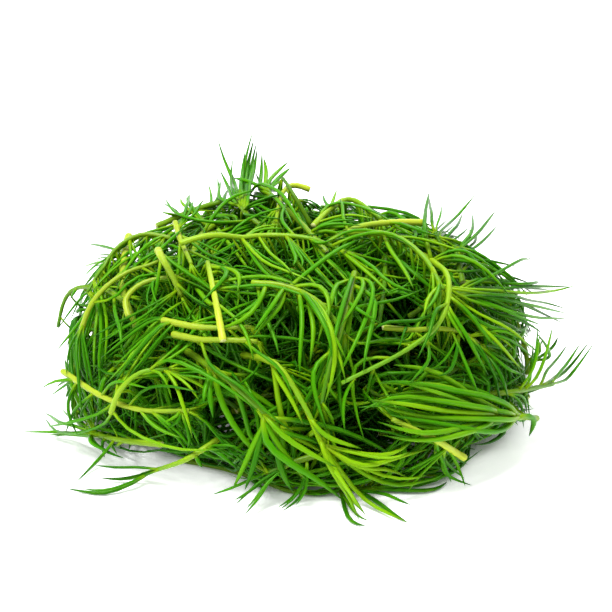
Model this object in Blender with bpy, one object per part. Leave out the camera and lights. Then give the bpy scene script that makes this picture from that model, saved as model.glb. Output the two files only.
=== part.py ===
"""A loose heap of romeritos: cut herb sprigs, each a stem with needle leaves, lying on a surface.

Every sprig is one closed solid. Its stem is a four-sided bar swept along a smooth path, and its
leaves are drawn out of the stem's side faces. The visible sprigs follow paths that are placed by
hand, in millimetres as seen from the front. The others grow by rule inside the mound, and feel
their way between the strands laid before them. +X is to the right, -Y to the front, +Z up.
"""

import math
import random
from dataclasses import dataclass, field

import bmesh
import bpy
import numpy as np
from mathutils import Quaternion, Vector

MM = 0.001

# The mound: a rounded dome, fuller than an ellipsoid
MOUND_HALF_WIDTH = 74 * MM
MOUND_HALF_DEPTH = 68 * MM
MOUND_HEIGHT = 56 * MM
MOUND_FULLNESS = 2.5
# The placed paths are given as seen from this angle above the floor
SIGHT_ANGLE = math.radians(25)
# The stretch of a line of sight that is searched for the mound, in millimetres from its middle
NEAR_SIGHT = 110
FAR_SIGHT = -200
# How far the middle of the whole outline, stray tips included, lies from the mound's middle
OUTLINE_SHIFT = Vector((2.1 * MM, -9.4 * MM, 0))

# Strands
STEM_THICKNESS = 2.0 * MM
LEAF_THICKNESS = 1.5 * MM
LEAF_LENGTH = 34 * MM
SHORTEST_LEAF = 12 * MM
SHORTEST_STEM = 25 * MM
SKELETON_LEAVES = 5
LEAF_SPREAD = (0.6, 1.0)
LEAF_LIMIT = 0.97
LEAF_DROOP = 0.03
STEM_DROOP = 0.01
NODE_GAP = 3 * MM
PLACED_NODE_GAP = 2.6 * MM
GAP = 0.3 * MM
SAFE_GAP = 0.9 * MM
# A strand keeps this many radii from the rest of its own sprig, once it has left it
OWN_GAP_RADII = 2.6
# A stem on the floor has its middle line at this share of its radius, pressed flat beneath
LYING_SHARE = 0.8
LOW_LAYER = 3 * MM

# How a strand feels its way: the bends it tries, the turns of each, and its own lasting curl
BENDS = (0, 0.25, 0.5, 0.8)
TURNS = 6
CURL = 0.06
STEM_TRIES = 12
LEAF_TRIES = 8
START_SHAKE = 4 * MM
START_LEAN = 0.4
EASING = 2

# A placed path is raised over what lies beneath it, at most so far, in a low hump
MOST_LIFT = 12 * MM
HUMP_FALL = 0.06 * MM

# Sprigs that grow by rule: how many, how long, and on which level of the mound
BASE_SPRIGS = 7
BASE_LENGTH = 62 * MM
BASE_LEVEL = 0.78
BASE_LIMIT = 0.9
BASE_INWARD = 0.5
SHELL_SPRIGS = 10
SHELL_LENGTH = 66 * MM
SHELL_LEVEL = 0.9
SHELL_LIMIT = 0.92
SHELL_FROM = math.radians(-8)
SHELL_SPAN = math.radians(196)
CORE_SPRIGS = 5
CORE_LENGTH = 60 * MM
CORE_LEVEL = 0.5
CORE_LIMIT = 0.75

# The grid that holds how much room there is around each point
CELL = 0.8 * MM
ROOM = 3 * MM
GRID_HALF = 108 * MM
GRID_TOP = 96 * MM
STEP = 2 * MM

GOLDEN_TURN = math.radians(137.5)
GOLDEN_SHARE = 0.618

# Solids: a square section stands for the round one, and its corners stand out further
CORNER_SHARE = 1.2
# Half the side of a square over half its diagonal
SQUARE_SHARE = math.sqrt(0.5)
TIP_SHARE = 0.3
STEM_TAPER = 0.35
STEM_RUN = 9 * MM
LEAF_RUN = 7.5 * MM
LEAF_LEAVING = 3 * MM

LEAF_GREEN = (0.05, 0.22, 0.01)
STEM_GREEN = (0.35, 0.45, 0.03)


class Mound:
    """The dome that the sprigs fill."""

    def level(self, point: Vector) -> float:
        """Return 1 on the dome's surface, less inside it and more outside."""
        plan = math.hypot(point.x / MOUND_HALF_WIDTH, point.y / MOUND_HALF_DEPTH)
        rise = max(point.z, 0) / MOUND_HEIGHT
        return (plan**MOUND_FULLNESS + rise**MOUND_FULLNESS) ** (1 / MOUND_FULLNESS)

    def outward(self, point: Vector) -> Vector:
        """Return the direction straight out of the dome at a point."""
        plan = max(math.hypot(point.x / MOUND_HALF_WIDTH, point.y / MOUND_HALF_DEPTH), 1e-6)
        rise = max(point.z, 0) / MOUND_HEIGHT
        pull = plan ** (MOUND_FULLNESS - 2)
        lean = rise ** (MOUND_FULLNESS - 1) / MOUND_HEIGHT
        out = Vector((pull * point.x / MOUND_HALF_WIDTH**2, pull * point.y / MOUND_HALF_DEPTH**2, lean))
        return out.normalized() if out.length > 0 else Vector((0, 0, 1))

    def facing(self, across: float, up: float, lift: float) -> Vector:
        """Return the point of the mound, or of the floor, that is seen at a place in the front view.

        Args:
            across: Millimetres to the right of the mound's middle.
            up: Millimetres above it, square to the line of sight.
            lift: Millimetres by which the point stands out of the surface.

        Returns:
            The point, in metres. Beside and above the mound it is the nearest one to the mound.
        """
        sine, cosine = math.sin(SIGHT_ANGLE), math.cos(SIGHT_ANGLE)
        raised = 1 + lift * MM / MOUND_HEIGHT
        best, best_level = None, math.inf
        for toward in range(NEAR_SIGHT, FAR_SIGHT, -1):
            spot = Vector((across, up * sine - toward * cosine, up * cosine + toward * sine)) * MM
            level = self.level(spot)
            if level > best_level:
                break
            best, best_level = spot, level
            if level <= raised or spot.z <= lift * MM:
                break
        return best

    def on_shell(self, turn: float, climb: float, level: float) -> Vector:
        """Return a point at an azimuth and a climb (0 at the foot, 1 at the top) on an inner shell."""
        rise = math.sin(climb * math.pi / 2)
        flat = (1 - rise**MOUND_FULLNESS) ** (1 / MOUND_FULLNESS)
        around = Vector((MOUND_HALF_WIDTH * math.cos(turn), MOUND_HALF_DEPTH * math.sin(turn), 0))
        return (around * flat + Vector((0, 0, MOUND_HEIGHT * rise))) * level


class Room:
    """How far each point of the heap's space is from the strands laid so far."""

    def __init__(self) -> None:
        """Start with an empty space."""
        across = int(2 * GRID_HALF / CELL)
        high = int((GRID_TOP + ROOM) / CELL)
        self.low = Vector((-GRID_HALF, -GRID_HALF, -ROOM))
        self.size = (across, across, high)
        self.free = np.full(self.size, ROOM, dtype=np.float32)
        self.marks = [self.low[k] + CELL * (np.arange(self.size[k]) + 0.5) for k in range(3)]

    def at(self, point: Vector) -> float:
        """Return the room at a point, as the distance to the nearest strand's surface."""
        cell = [int((point[k] - self.low[k]) / CELL) for k in range(3)]
        if any(cell[k] < 0 or cell[k] >= self.size[k] for k in range(3)):
            return ROOM
        return float(self.free[cell[0], cell[1], cell[2]])

    def lay(self, path: "Path", radius: float) -> None:
        """Take the space of a strand."""
        reach = radius + ROOM
        for spot in path.resampled(CELL).points:
            span = []
            square = []
            for k in range(3):
                first = max(0, int((spot[k] - reach - self.low[k]) / CELL))
                last = min(self.size[k], int((spot[k] + reach - self.low[k]) / CELL) + 1)
                span.append(slice(first, last))
                square.append((self.marks[k][first:last] - spot[k]) ** 2)
            away = np.sqrt(square[0][:, None, None] + square[1][None, :, None] + square[2][None, None, :])
            block = self.free[span[0], span[1], span[2]]
            np.minimum(block, away - radius, out=block)


class Path:
    """A run of points with its length measured along it."""

    def __init__(self, points: list[Vector]) -> None:
        """Keep the points and measure the way to each."""
        self.points = points
        self.marks = [0.0]
        for a, b in zip(points, points[1:]):
            self.marks.append(self.marks[-1] + (b - a).length)

    @property
    def length(self) -> float:
        """Return the whole length."""
        return self.marks[-1]

    def at(self, way: float) -> Vector:
        """Return the point a given way along."""
        way = min(max(way, 0), self.length)
        for k in range(1, len(self.points)):
            if way <= self.marks[k]:
                share = (way - self.marks[k - 1]) / max(self.marks[k] - self.marks[k - 1], 1e-9)
                return self.points[k - 1].lerp(self.points[k], share)
        return self.points[-1].copy()

    def heading(self, way: float) -> Vector:
        """Return the direction in which the path runs there."""
        near = self.at(way - STEP / 2)
        return (self.at(way + STEP / 2) - near).normalized()

    def resampled(self, spacing: float) -> "Path":
        """Return the same path with evenly spaced points."""
        count = max(1, round(self.length / spacing))
        return Path([self.at(self.length * k / count) for k in range(count + 1)])

    def eased(self, rounds: int) -> "Path":
        """Return the path with its kinks smoothed and its ends kept."""
        points = [p.copy() for p in self.points]
        for _ in range(rounds):
            inner = [(a + b * 2 + c) / 4 for a, b, c in zip(points, points[1:], points[2:])]
            points = [points[0], *inner, points[-1]]
        return Path(points)


def smooth_through(corners: list[Vector]) -> Path:
    """Return a smooth path through a few points, with a point about every step."""
    ends = [corners[0] * 2 - corners[1], *corners, corners[-1] * 2 - corners[-2]]
    points = []
    for a, b, c, d in zip(ends, ends[1:], ends[2:], ends[3:]):
        count = max(2, int((c - b).length / STEP))
        for k in range(count):
            t = k / count
            bend = (a * 2 - b * 5 + c * 4 - d) * (t * t) + (b * 3 - a - c * 3 + d) * (t * t * t)
            points.append((b * 2 + (c - a) * t + bend) / 2)
    points.append(corners[-1].copy())
    return Path(points).resampled(STEP)


@dataclass
class Leaf:
    """One needle leaf."""

    path: Path
    radius: float
    node: float


@dataclass
class Sprig:
    """A stem and its leaves."""

    name: str
    stem: Path
    radius: float
    leaves: list[Leaf] = field(default_factory=list)


@dataclass(frozen=True)
class Placed:
    """A sprig placed by hand: places are (across, up, lift) in millimetres in the front view."""

    name: str
    stem: tuple[tuple[float, float, float], ...]
    thickness: float
    leaves: tuple[tuple[tuple[float, float, float], ...], ...] = ()
    grown: int = 2


CROWN = (
    Placed("crown_arch_left", ((-43, 52, 1), (-29, 58, 1), (-19, 60, 1), (-9, 59, -1)), 2.0,
           (((-31, 56, 3), (-37, 57, 5), (-41, 59, 5)), ((-25, 58, 2), (-24, 63, 3), (-25, 67, 4)))),
    Placed("top_tuft", ((-7, 50, -3), (-13, 53, 0), (-17, 57, 2), (-18, 62, 3)), 1.8,
           (((-17, 60, 3), (-16, 70, 3), (-14, 79, 3)), ((-17, 59, 3), (-14, 69, 3), (-13, 76, 3)),
            ((-18, 58, 3), (-20, 66, 4), (-23, 72, 4), (-25, 79, 4))), 0),
    Placed("crown_crest", ((8, 44, -3), (1, 52, 1), (-6, 59, 3), (-11, 64, 3)), 1.9,
           (((-11, 64, 3), (-10, 69, 3), (-11, 73, 4)), ((-10, 65, 3), (-6, 68, 3), (-3, 70, 4)),
            ((-9, 63, 3), (-15, 63, 4), (-20, 65, 5))), 1),
    Placed("crown_hook", ((3, 62, 4), (-2, 62, 4), (-5, 59, 3), (-7, 52, 1)), 1.8, (), 2),
    Placed("crown_needle", ((3, 48, -6), (-2, 55, 0), (-5, 60, 2)), 1.5, (), 1),
    Placed("crown_arc", ((4, 52, 1), (10, 58, 2), (16, 60, 2), (24, 54, 2)), 2.0,
           (((9, 57, 2), (10, 60, 3), (11, 63, 4)),), 3),
    Placed("crown_stub", ((37, 53, 3), (28, 53, 3), (19, 52, 3), (13, 50, 1)), 2.2, (), 3),
    Placed("crown_bow", ((14, 50, 3), (27, 49, 4), (36, 43, 4), (42, 33, 3)), 2.0, (), 3),
    Placed("crown_needles", ((43, 40, -3), (42, 46, 1), (40, 50, 3)), 2.0,
           (((38, 49, 3), (39, 55, 4), (39, 61, 5)), ((40, 49, 3), (48, 56, 4), (53, 62, 4)),
            ((39, 47, 2), (46, 51, 4), (49, 56, 4))), 1),
    Placed("right_needles", ((48, 35, 0), (47, 40, 1), (46, 46, 3)), 2.0,
           (((45, 44, 3), (52, 49, 5), (59, 57, 5)), ((46, 45, 3), (51, 50, 5), (52, 56, 5)),
            ((44, 44, 2), (55, 42, 5), (64, 40, 6))), 1),
)

LEFT = (
    Placed("left_stub", ((-51, 49, 3), (-52, 42, 3), (-52, 33, 1), (-48, 22, -2)), 2.7,
           (((-52, 44, 3), (-58, 46, 4), (-64, 47, 5)), ((-52, 42, 3), (-59, 38, 3), (-65, 31, 2)))),
    Placed("left_arc", ((-50, 28, 0), (-57, 32, 2), (-66, 31, 2), (-72, 22, 2)), 1.7, (), 1),
    Placed("left_curl", ((-50, 25, 3), (-51, 30, 4), (-46, 35, 4), (-36, 37, 3)), 1.9, (), 2),
    Placed("left_olive_stem", ((-64, 21, 3), (-58, 29, 3), (-49, 37, 3), (-41, 41, 3)), 1.7, (), 3),
    Placed("left_cut_stem", ((-41, 43, 5), (-39, 39, 5), (-36, 34, 1), (-33, 28, -4)), 2.5, (), 4),
    Placed("left_upright_stem", ((-37, 53, 4), (-35, 47, 4), (-31, 38, 2)), 1.9,
           (((-36, 51, 4), (-34, 56, 5), (-33, 61, 5)),), 3),
    Placed("left_high_fan", ((-38, 47, 1), (-46, 46, 2), (-54, 40, 2), (-60, 30, 2)), 1.5, (), 5),
    Placed("left_stack_upper", ((-40, 24, 4), (-28, 22, 4), (-14, 22, 3)), 2.1, (), 2),
    Placed("left_stack_lower", ((-37, 20, 3), (-26, 18, 3), (-12, 17, 2)), 2.1, (), 2),
    Placed("left_low_stem", ((-70, 9, 3), (-58, 2, 3), (-46, -2, 3), (-32, -2, 2)), 1.9,
           (((-60, 3, 3), (-66, -2, 4), (-69, -9, 3)), ((-66, 7, 3), (-73, 6, 5), (-76, 4, 6))), 2),
    Placed("left_loop", ((-55, -3, 5), (-52, 4, 6), (-46, 9, 5), (-38, 10, 3)), 1.8, (), 3),
    Placed("left_floor_leafy", ((-40, -12, 1), (-52, -11, 1), (-62, -9, 1)), 1.9,
           (((-58, -10, 1), (-70, -9, 2), (-83, -9, 3)), ((-54, -11, 1), (-59, -17, 1), (-65, -23, 1))), 2),
    Placed("left_floor_long", ((-23, -10, -4), (-31, -15, 1), (-38, -18, 1), (-46, -21, 1)), 1.8,
           (((-44, -21, 1), (-56, -26, 1), (-68, -25, 1)),
            ((-40, -19, 1), (-50, -22, 2), (-58, -22, 2))), 2),
)

FRONT = (
    Placed("long_arch", ((-34, 43, 4), (-23, 47, 5), (-10, 49, 5), (3, 48, 5), (14, 44, 2)), 1.8, (), 4),
    Placed("bright_stub", ((-22, 18, 7), (-24, 28, 7), (-26, 37, 5), (-27, 41, 3)), 2.2, (), 2),
    Placed("second_arch", ((-14, 35, 4), (-4, 34, 5), (6, 29, 5), (13, 20, 3)), 1.8,
           (((-10, 35, 5), (-11, 30, 5), (-20, 23, 4)), ((-4, 34, 5), (-6, 27, 5), (-13, 18, 4)),
            ((2, 31, 5), (4, 22, 5), (3, 12, 4))), 1),
    Placed("front_bundle", ((-16, 13, -6), (-6, 10, 4), (1, 0, 5), (8, -14, 4)), 2.1,
           (((2, -2, 5), (9, -17, 5), (19, -32, 5)), ((5, -8, 4), (11, -20, 5), (17, -33, 3)),
            ((7, -12, 4), (18, -27, 3), (31, -34, 2))), 2),
    Placed("front_wide_leafy", ((-33, 15, -6), (-22, 8, 4), (-13, 0, 4), (-6, -7, 3)), 2.3,
           (((-12, -1, 4), (-6, -12, 4), (2, -22, 4)),), 4),
    Placed("front_left_tuft", ((4, -15, 0), (-2, -17, 1), (-9, -20, 2)), 2.0,
           (((-8, -19, 2), (-17, -23, 2), (-25, -26, 2)), ((-8, -20, 2), (-14, -25, 3), (-19, -28, 2)),
            ((-7, -18, 2), (-11, -26, 4), (-16, -32, 2))), 1),
    Placed("middle_cords", ((16, 38, 3), (13, 25, 4), (9, 12, 4), (6, 0, 3)), 2.0, (), 4),
    Placed("round_end", ((24, 22, 2), (34, 21, 1), (46, 19, -1), (56, 13, -2)), 1.7, (), 3),
    Placed("right_bow", ((33, 46, -6), (43, 37, 5), (41, 24, 5), (30, 15, 5), (12, 6, 4)), 1.9, (), 3),
    Placed("right_fan", ((70, -5, 2), (64, -4, 3), (56, -3, 3)), 2.0,
           (((62, -4, 3), (40, 1, 4), (17, -1, 5)), ((60, -3, 3), (42, 5, 4), (23, 6, 5)),
            ((57, -3, 3), (40, 9, 4), (27, 11, 5)), ((66, -4, 3), (46, -7, 4), (25, -5, 4))), 1),
    Placed("right_spray", ((32, 25, -9), (42, 31, -1), (52, 32, 4)), 1.8,
           (((46, 33, 4), (60, 38, 5), (70, 43, 5)), ((50, 32, 4), (66, 34, 5), (81, 34, 4)),
            ((51, 31, 4), (66, 29, 5), (80, 26, 4)), ((44, 32, 4), (62, 30, 6), (79, 23, 4))), 1),
    Placed("right_floor_sprig", ((50, 2, -3), (62, 3, 1), (75, 5, 3)), 1.9,
           (((72, 5, 3), (80, 9, 4), (87, 18, 5)), ((68, 4, 3), (72, 12, 4), (75, 22, 5)),
            ((66, 4, 2), (69, 12, 5), (70, 22, 6))), 2),
    Placed("right_thick_stem", ((48, -16, 4), (38, -10, 4), (25, -4, 1)), 2.3,
           (((42, -12, 4), (46, -18, 4), (48, -24, 3)), ((38, -10, 4), (42, -18, 4), (44, -23, 3))), 2),
)


class Heap:
    """All the sprigs, laid one after another."""

    def __init__(self) -> None:
        """Start with an empty mound."""
        self.mound = Mound()
        self.room = Room()
        self.sprigs: list[Sprig] = []

    def lay(self, sprig: Sprig) -> None:
        """Add a finished sprig and take its space."""
        self.room.lay(sprig.stem, sprig.radius)
        for leaf in sprig.leaves:
            self.room.lay(leaf.path, leaf.radius)
        self.sprigs.append(sprig)

    def rested(self, path: Path, radius: float) -> Path:
        """Return a placed path, raised just enough to pass over the strands beneath it."""
        outs = [self.mound.outward(p) for p in path.points]
        lifts = []
        for spot, out in zip(path.points, outs):
            lift = 0.0
            while self.room.at(spot + out * lift) < radius + SAFE_GAP and lift < MOST_LIFT:
                lift += CELL / 2
            lifts.append(lift)
        raised = []
        for i, (spot, out) in enumerate(zip(path.points, outs)):
            lift = max(up - HUMP_FALL * (i - j) ** 2 for j, up in enumerate(lifts))
            point = spot + out * max(lift, 0)
            point.z = max(point.z, radius)
            raised.append(point)
        return Path(raised)

    def guided(self, spot: Vector, heading: Vector, limit: float, droop: float) -> Vector:
        """Return the way a strand wants to go: on, but back to the mound when it is outside."""
        level = self.mound.level(spot)
        out = self.mound.outward(spot)
        want = heading.copy()
        want.z -= droop
        if level > limit:
            want -= out * (want.dot(out) * 0.5 + (level - limit) * 3)
        if spot.z < LOW_LAYER:
            want.z = max(want.z, 0)
        return want.normalized()

    def fits(self, spot: Vector, radius: float, own: list[Vector], own_gap: float) -> bool:
        """Tell whether a strand has room at a point, away from the floor and its own sprig."""
        if spot.z < radius * LYING_SHARE - CELL / 100 or self.room.at(spot) < radius + SAFE_GAP:
            return False
        return all((spot - other).length > own_gap for other in own)

    def grown(self, start: Vector, heading: Vector, length: float, radius: float, limit: float,
              droop: float, dice: random.Random, own: list[Vector]) -> Path:
        """Return the path of a strand that feels its way through the mound.

        Args:
            start: Where it begins.
            heading: The direction it sets out in.
            length: How long it would be with nothing in its way.
            radius: Half its thickness.
            limit: The level of the mound at which it turns back.
            droop: How much it bends down at each step.
            dice: The sprig's random numbers.
            own: Points of its own sprig, which it keeps away from after its first steps.

        Returns:
            The path, shorter than asked where the way is blocked.
        """
        points = [start.copy()]
        curl = self.shaken(dice) * CURL
        for k in range(round(length / STEP)):
            spot = points[-1]
            want = self.guided(spot, heading + curl, limit, droop)
            side = want.orthogonal().normalized()
            near = own if k > 3 else []
            found = None
            for bend in BENDS:
                turn = dice.uniform(0, math.tau)
                for part in range(TURNS if bend else 1):
                    around = Quaternion(want, turn + part * math.tau / TURNS)
                    way = want * math.cos(bend) + (around @ side) * math.sin(bend)
                    if self.fits(spot + way * STEP, radius, near, OWN_GAP_RADII * radius):
                        found = way
                        break
                if found:
                    break
            if not found:
                break
            heading = found
            points.append(spot + found * STEP)
        return Path(points).eased(EASING)

    @staticmethod
    def shaken(dice: random.Random) -> Vector:
        """Return a random vector in a cube of two metres, to be scaled down."""
        return Vector([dice.uniform(-1, 1) for _ in range(3)])

    def add_leaves(self, sprig: Sprig, count: int, dice: random.Random) -> None:
        """Grow leaves along a stem, turning by the golden angle from each to the next."""
        taken = [leaf.node for leaf in sprig.leaves]
        own = [p for leaf in sprig.leaves for p in leaf.path.points[2:]] + sprig.stem.points
        turn = dice.uniform(0, math.tau)
        for k in range(count):
            share = (k + 0.5 + dice.uniform(-0.2, 0.2)) / count
            node = sprig.stem.length * (0.12 + 0.8 * share)
            if any(abs(node - other) < NODE_GAP for other in taken):
                node += NODE_GAP + STEP / 4
            if any(abs(node - other) < NODE_GAP for other in taken):
                continue
            along = sprig.stem.heading(node)
            best = None
            for _ in range(LEAF_TRIES):
                turn += GOLDEN_TURN
                spread = dice.uniform(*LEAF_SPREAD)
                aside = Quaternion(along, turn) @ along.orthogonal().normalized()
                heading = (along * math.cos(spread) + aside * math.sin(spread)).normalized()
                length = LEAF_LENGTH * dice.uniform(0.75, 1.2)
                radius = LEAF_THICKNESS / 2 * dice.uniform(0.85, 1.1)
                start = sprig.stem.at(node) + heading * (sprig.radius * 0.5)
                path = self.grown(start, heading, length, radius, LEAF_LIMIT, LEAF_DROOP, dice, own)
                if best is None or path.length > best.path.length:
                    best = Leaf(path, radius, node)
                if path.length > 0.8 * length:
                    break
            if best.path.length > SHORTEST_LEAF:
                sprig.leaves.append(best)
                taken.append(node)
                own += best.path.points[2:]

    def place(self, placed: Placed) -> None:
        """Lay a sprig whose stem, and perhaps leaves, are placed by hand."""
        dice = random.Random(placed.name)
        radius = placed.thickness * MM / 2
        stem = smooth_through([self.mound.facing(*spot) for spot in placed.stem])
        sprig = Sprig(placed.name, self.rested(stem, radius), radius)
        nodes = []
        for spots in placed.leaves:
            path = smooth_through([self.mound.facing(*spot) for spot in spots])
            path = self.rested(path, LEAF_THICKNESS / 2)
            node = self.nearest(sprig.stem, path.points[0])
            while any(abs(node - other) < PLACED_NODE_GAP for other in nodes):
                node -= PLACED_NODE_GAP / 2
            nodes.append(node)
            path.points[0] = sprig.stem.at(node)
            sprig.leaves.append(Leaf(Path(path.points).eased(EASING), LEAF_THICKNESS / 2, node))
        self.add_leaves(sprig, placed.grown, dice)
        self.lay(sprig)

    @staticmethod
    def nearest(path: Path, spot: Vector) -> float:
        """Return the way along a path to the point nearest a spot, off its very ends."""
        ways = [path.length * k / 60 for k in range(3, 58)]
        return min(ways, key=lambda way: (path.at(way) - spot).length)

    def grow_sprig(self, name: str, start: Vector, heading: Vector, length: float, limit: float) -> None:
        """Lay a sprig that grows by rule from a place and a direction.

        Args:
            name: The sprig's name.
            start: About where its cut end is. One that starts at z = 0 lies flat.
            heading: About where it sets out to.
            length: How long it would be with nothing in its way.
            limit: The level of the mound at which it turns back.
        """
        dice = random.Random(name)
        radius = STEM_THICKNESS / 2 * dice.uniform(0.75, 1.05)
        flat = start.z == 0
        best = None
        for _ in range(STEM_TRIES):
            begin = start + self.shaken(dice) * START_SHAKE
            lean = self.shaken(dice) * START_LEAN
            begin.z = radius * LYING_SHARE if flat else max(begin.z, radius + GAP)
            lean.z = 0 if flat else lean.z
            if not self.fits(begin, radius, [], 0):
                continue
            way = (heading + lean).normalized()
            path = self.grown(begin, way, length, radius, limit, STEM_DROOP, dice, [])
            if best is None or path.length > best.length:
                best = path
            if path.length > 0.85 * length:
                break
        if best is None or best.length < SHORTEST_STEM:
            return
        sprig = Sprig(name, best, radius)
        self.add_leaves(sprig, SKELETON_LEAVES, dice)
        self.lay(sprig)

    def grow_base(self, count: int) -> None:
        """Lay the sprigs that the heap rests on, in a ring on the floor."""
        for k in range(count):
            turn = math.tau * (k + 0.5) / count
            start = self.mound.on_shell(turn, 0, BASE_LEVEL)
            out = Vector((math.cos(turn), math.sin(turn), 0))
            along = Vector((-out.y, out.x, 0)) - out * BASE_INWARD
            self.grow_sprig(f"base_sprig_{k + 1:02d}", start, along.normalized(), BASE_LENGTH, BASE_LIMIT)

    def grow_shell(self, count: int) -> None:
        """Lay the sprigs of the back and the sides, which the front view hides."""
        for k in range(count):
            turn = SHELL_FROM + SHELL_SPAN * ((k * GOLDEN_SHARE) % 1)
            climb = 0.18 + 0.72 * (k + 0.5) / count
            start = self.mound.on_shell(turn, climb, SHELL_LEVEL)
            out = self.mound.outward(start)
            side = Quaternion(out, k * GOLDEN_TURN) @ out.orthogonal().normalized()
            self.grow_sprig(f"back_sprig_{k + 1:02d}", start, side, SHELL_LENGTH, SHELL_LIMIT)

    def grow_core(self, count: int) -> None:
        """Lay the sprigs inside."""
        for k in range(count):
            turn = k * GOLDEN_TURN
            start = self.mound.on_shell(turn, 0.15 + 0.6 * ((k * GOLDEN_SHARE) % 1), CORE_LEVEL)
            side = Vector((-math.sin(turn), math.cos(turn), 0.2)).normalized()
            self.grow_sprig(f"core_sprig_{k + 1:02d}", start, side, CORE_LENGTH, CORE_LIMIT)


def grow_heap() -> Heap:
    """Return the whole heap: the sprigs it rests on, the placed ones, and those that fill the rest."""
    heap = Heap()
    heap.grow_base(BASE_SPRIGS)
    for placed in (*CROWN, *LEFT, *FRONT):
        heap.place(placed)
    heap.grow_shell(SHELL_SPRIGS)
    heap.grow_core(CORE_SPRIGS)
    return heap


def capsule_gap(spots: np.ndarray, starts: np.ndarray, ends: np.ndarray, radii: np.ndarray) -> float:
    """Return the least distance from some points to the surfaces of straight round-ended bars.

    Args:
        spots: The points, one a row.
        starts: Where each bar begins.
        ends: Where each bar ends.
        radii: Half the thickness of each bar.

    Returns:
        The distance, below zero for a point inside a bar.
    """
    run = ends - starts
    square = np.maximum((run * run).sum(axis=1), 1e-12)
    away = spots[:, None, :] - starts[None, :, :]
    share = np.clip((away * run[None, :, :]).sum(axis=2) / square[None, :], 0, 1)
    miss = away - share[:, :, None] * run[None, :, :]
    return float((np.sqrt((miss * miss).sum(axis=2)) - radii[None, :]).min())


@dataclass
class Limb:
    """A stem or leaf of a solid: its ring centres and the half-diagonal of its square section."""

    centres: list[Vector]
    radii: list[float]

    def bars(self, first: int) -> tuple[np.ndarray, np.ndarray, np.ndarray]:
        """Return the starts, ends and radii of its straight stretches from a given ring on."""
        spots = np.array([list(c) for c in self.centres[first:]])
        return spots[:-1], spots[1:], np.array(self.radii[first:-1])

    def samples(self, first: int) -> np.ndarray:
        """Return points along its middle line from a given ring on."""
        return np.array([list(p) for p in Path(self.centres[first:]).resampled(GAP * 2).points])


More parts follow.
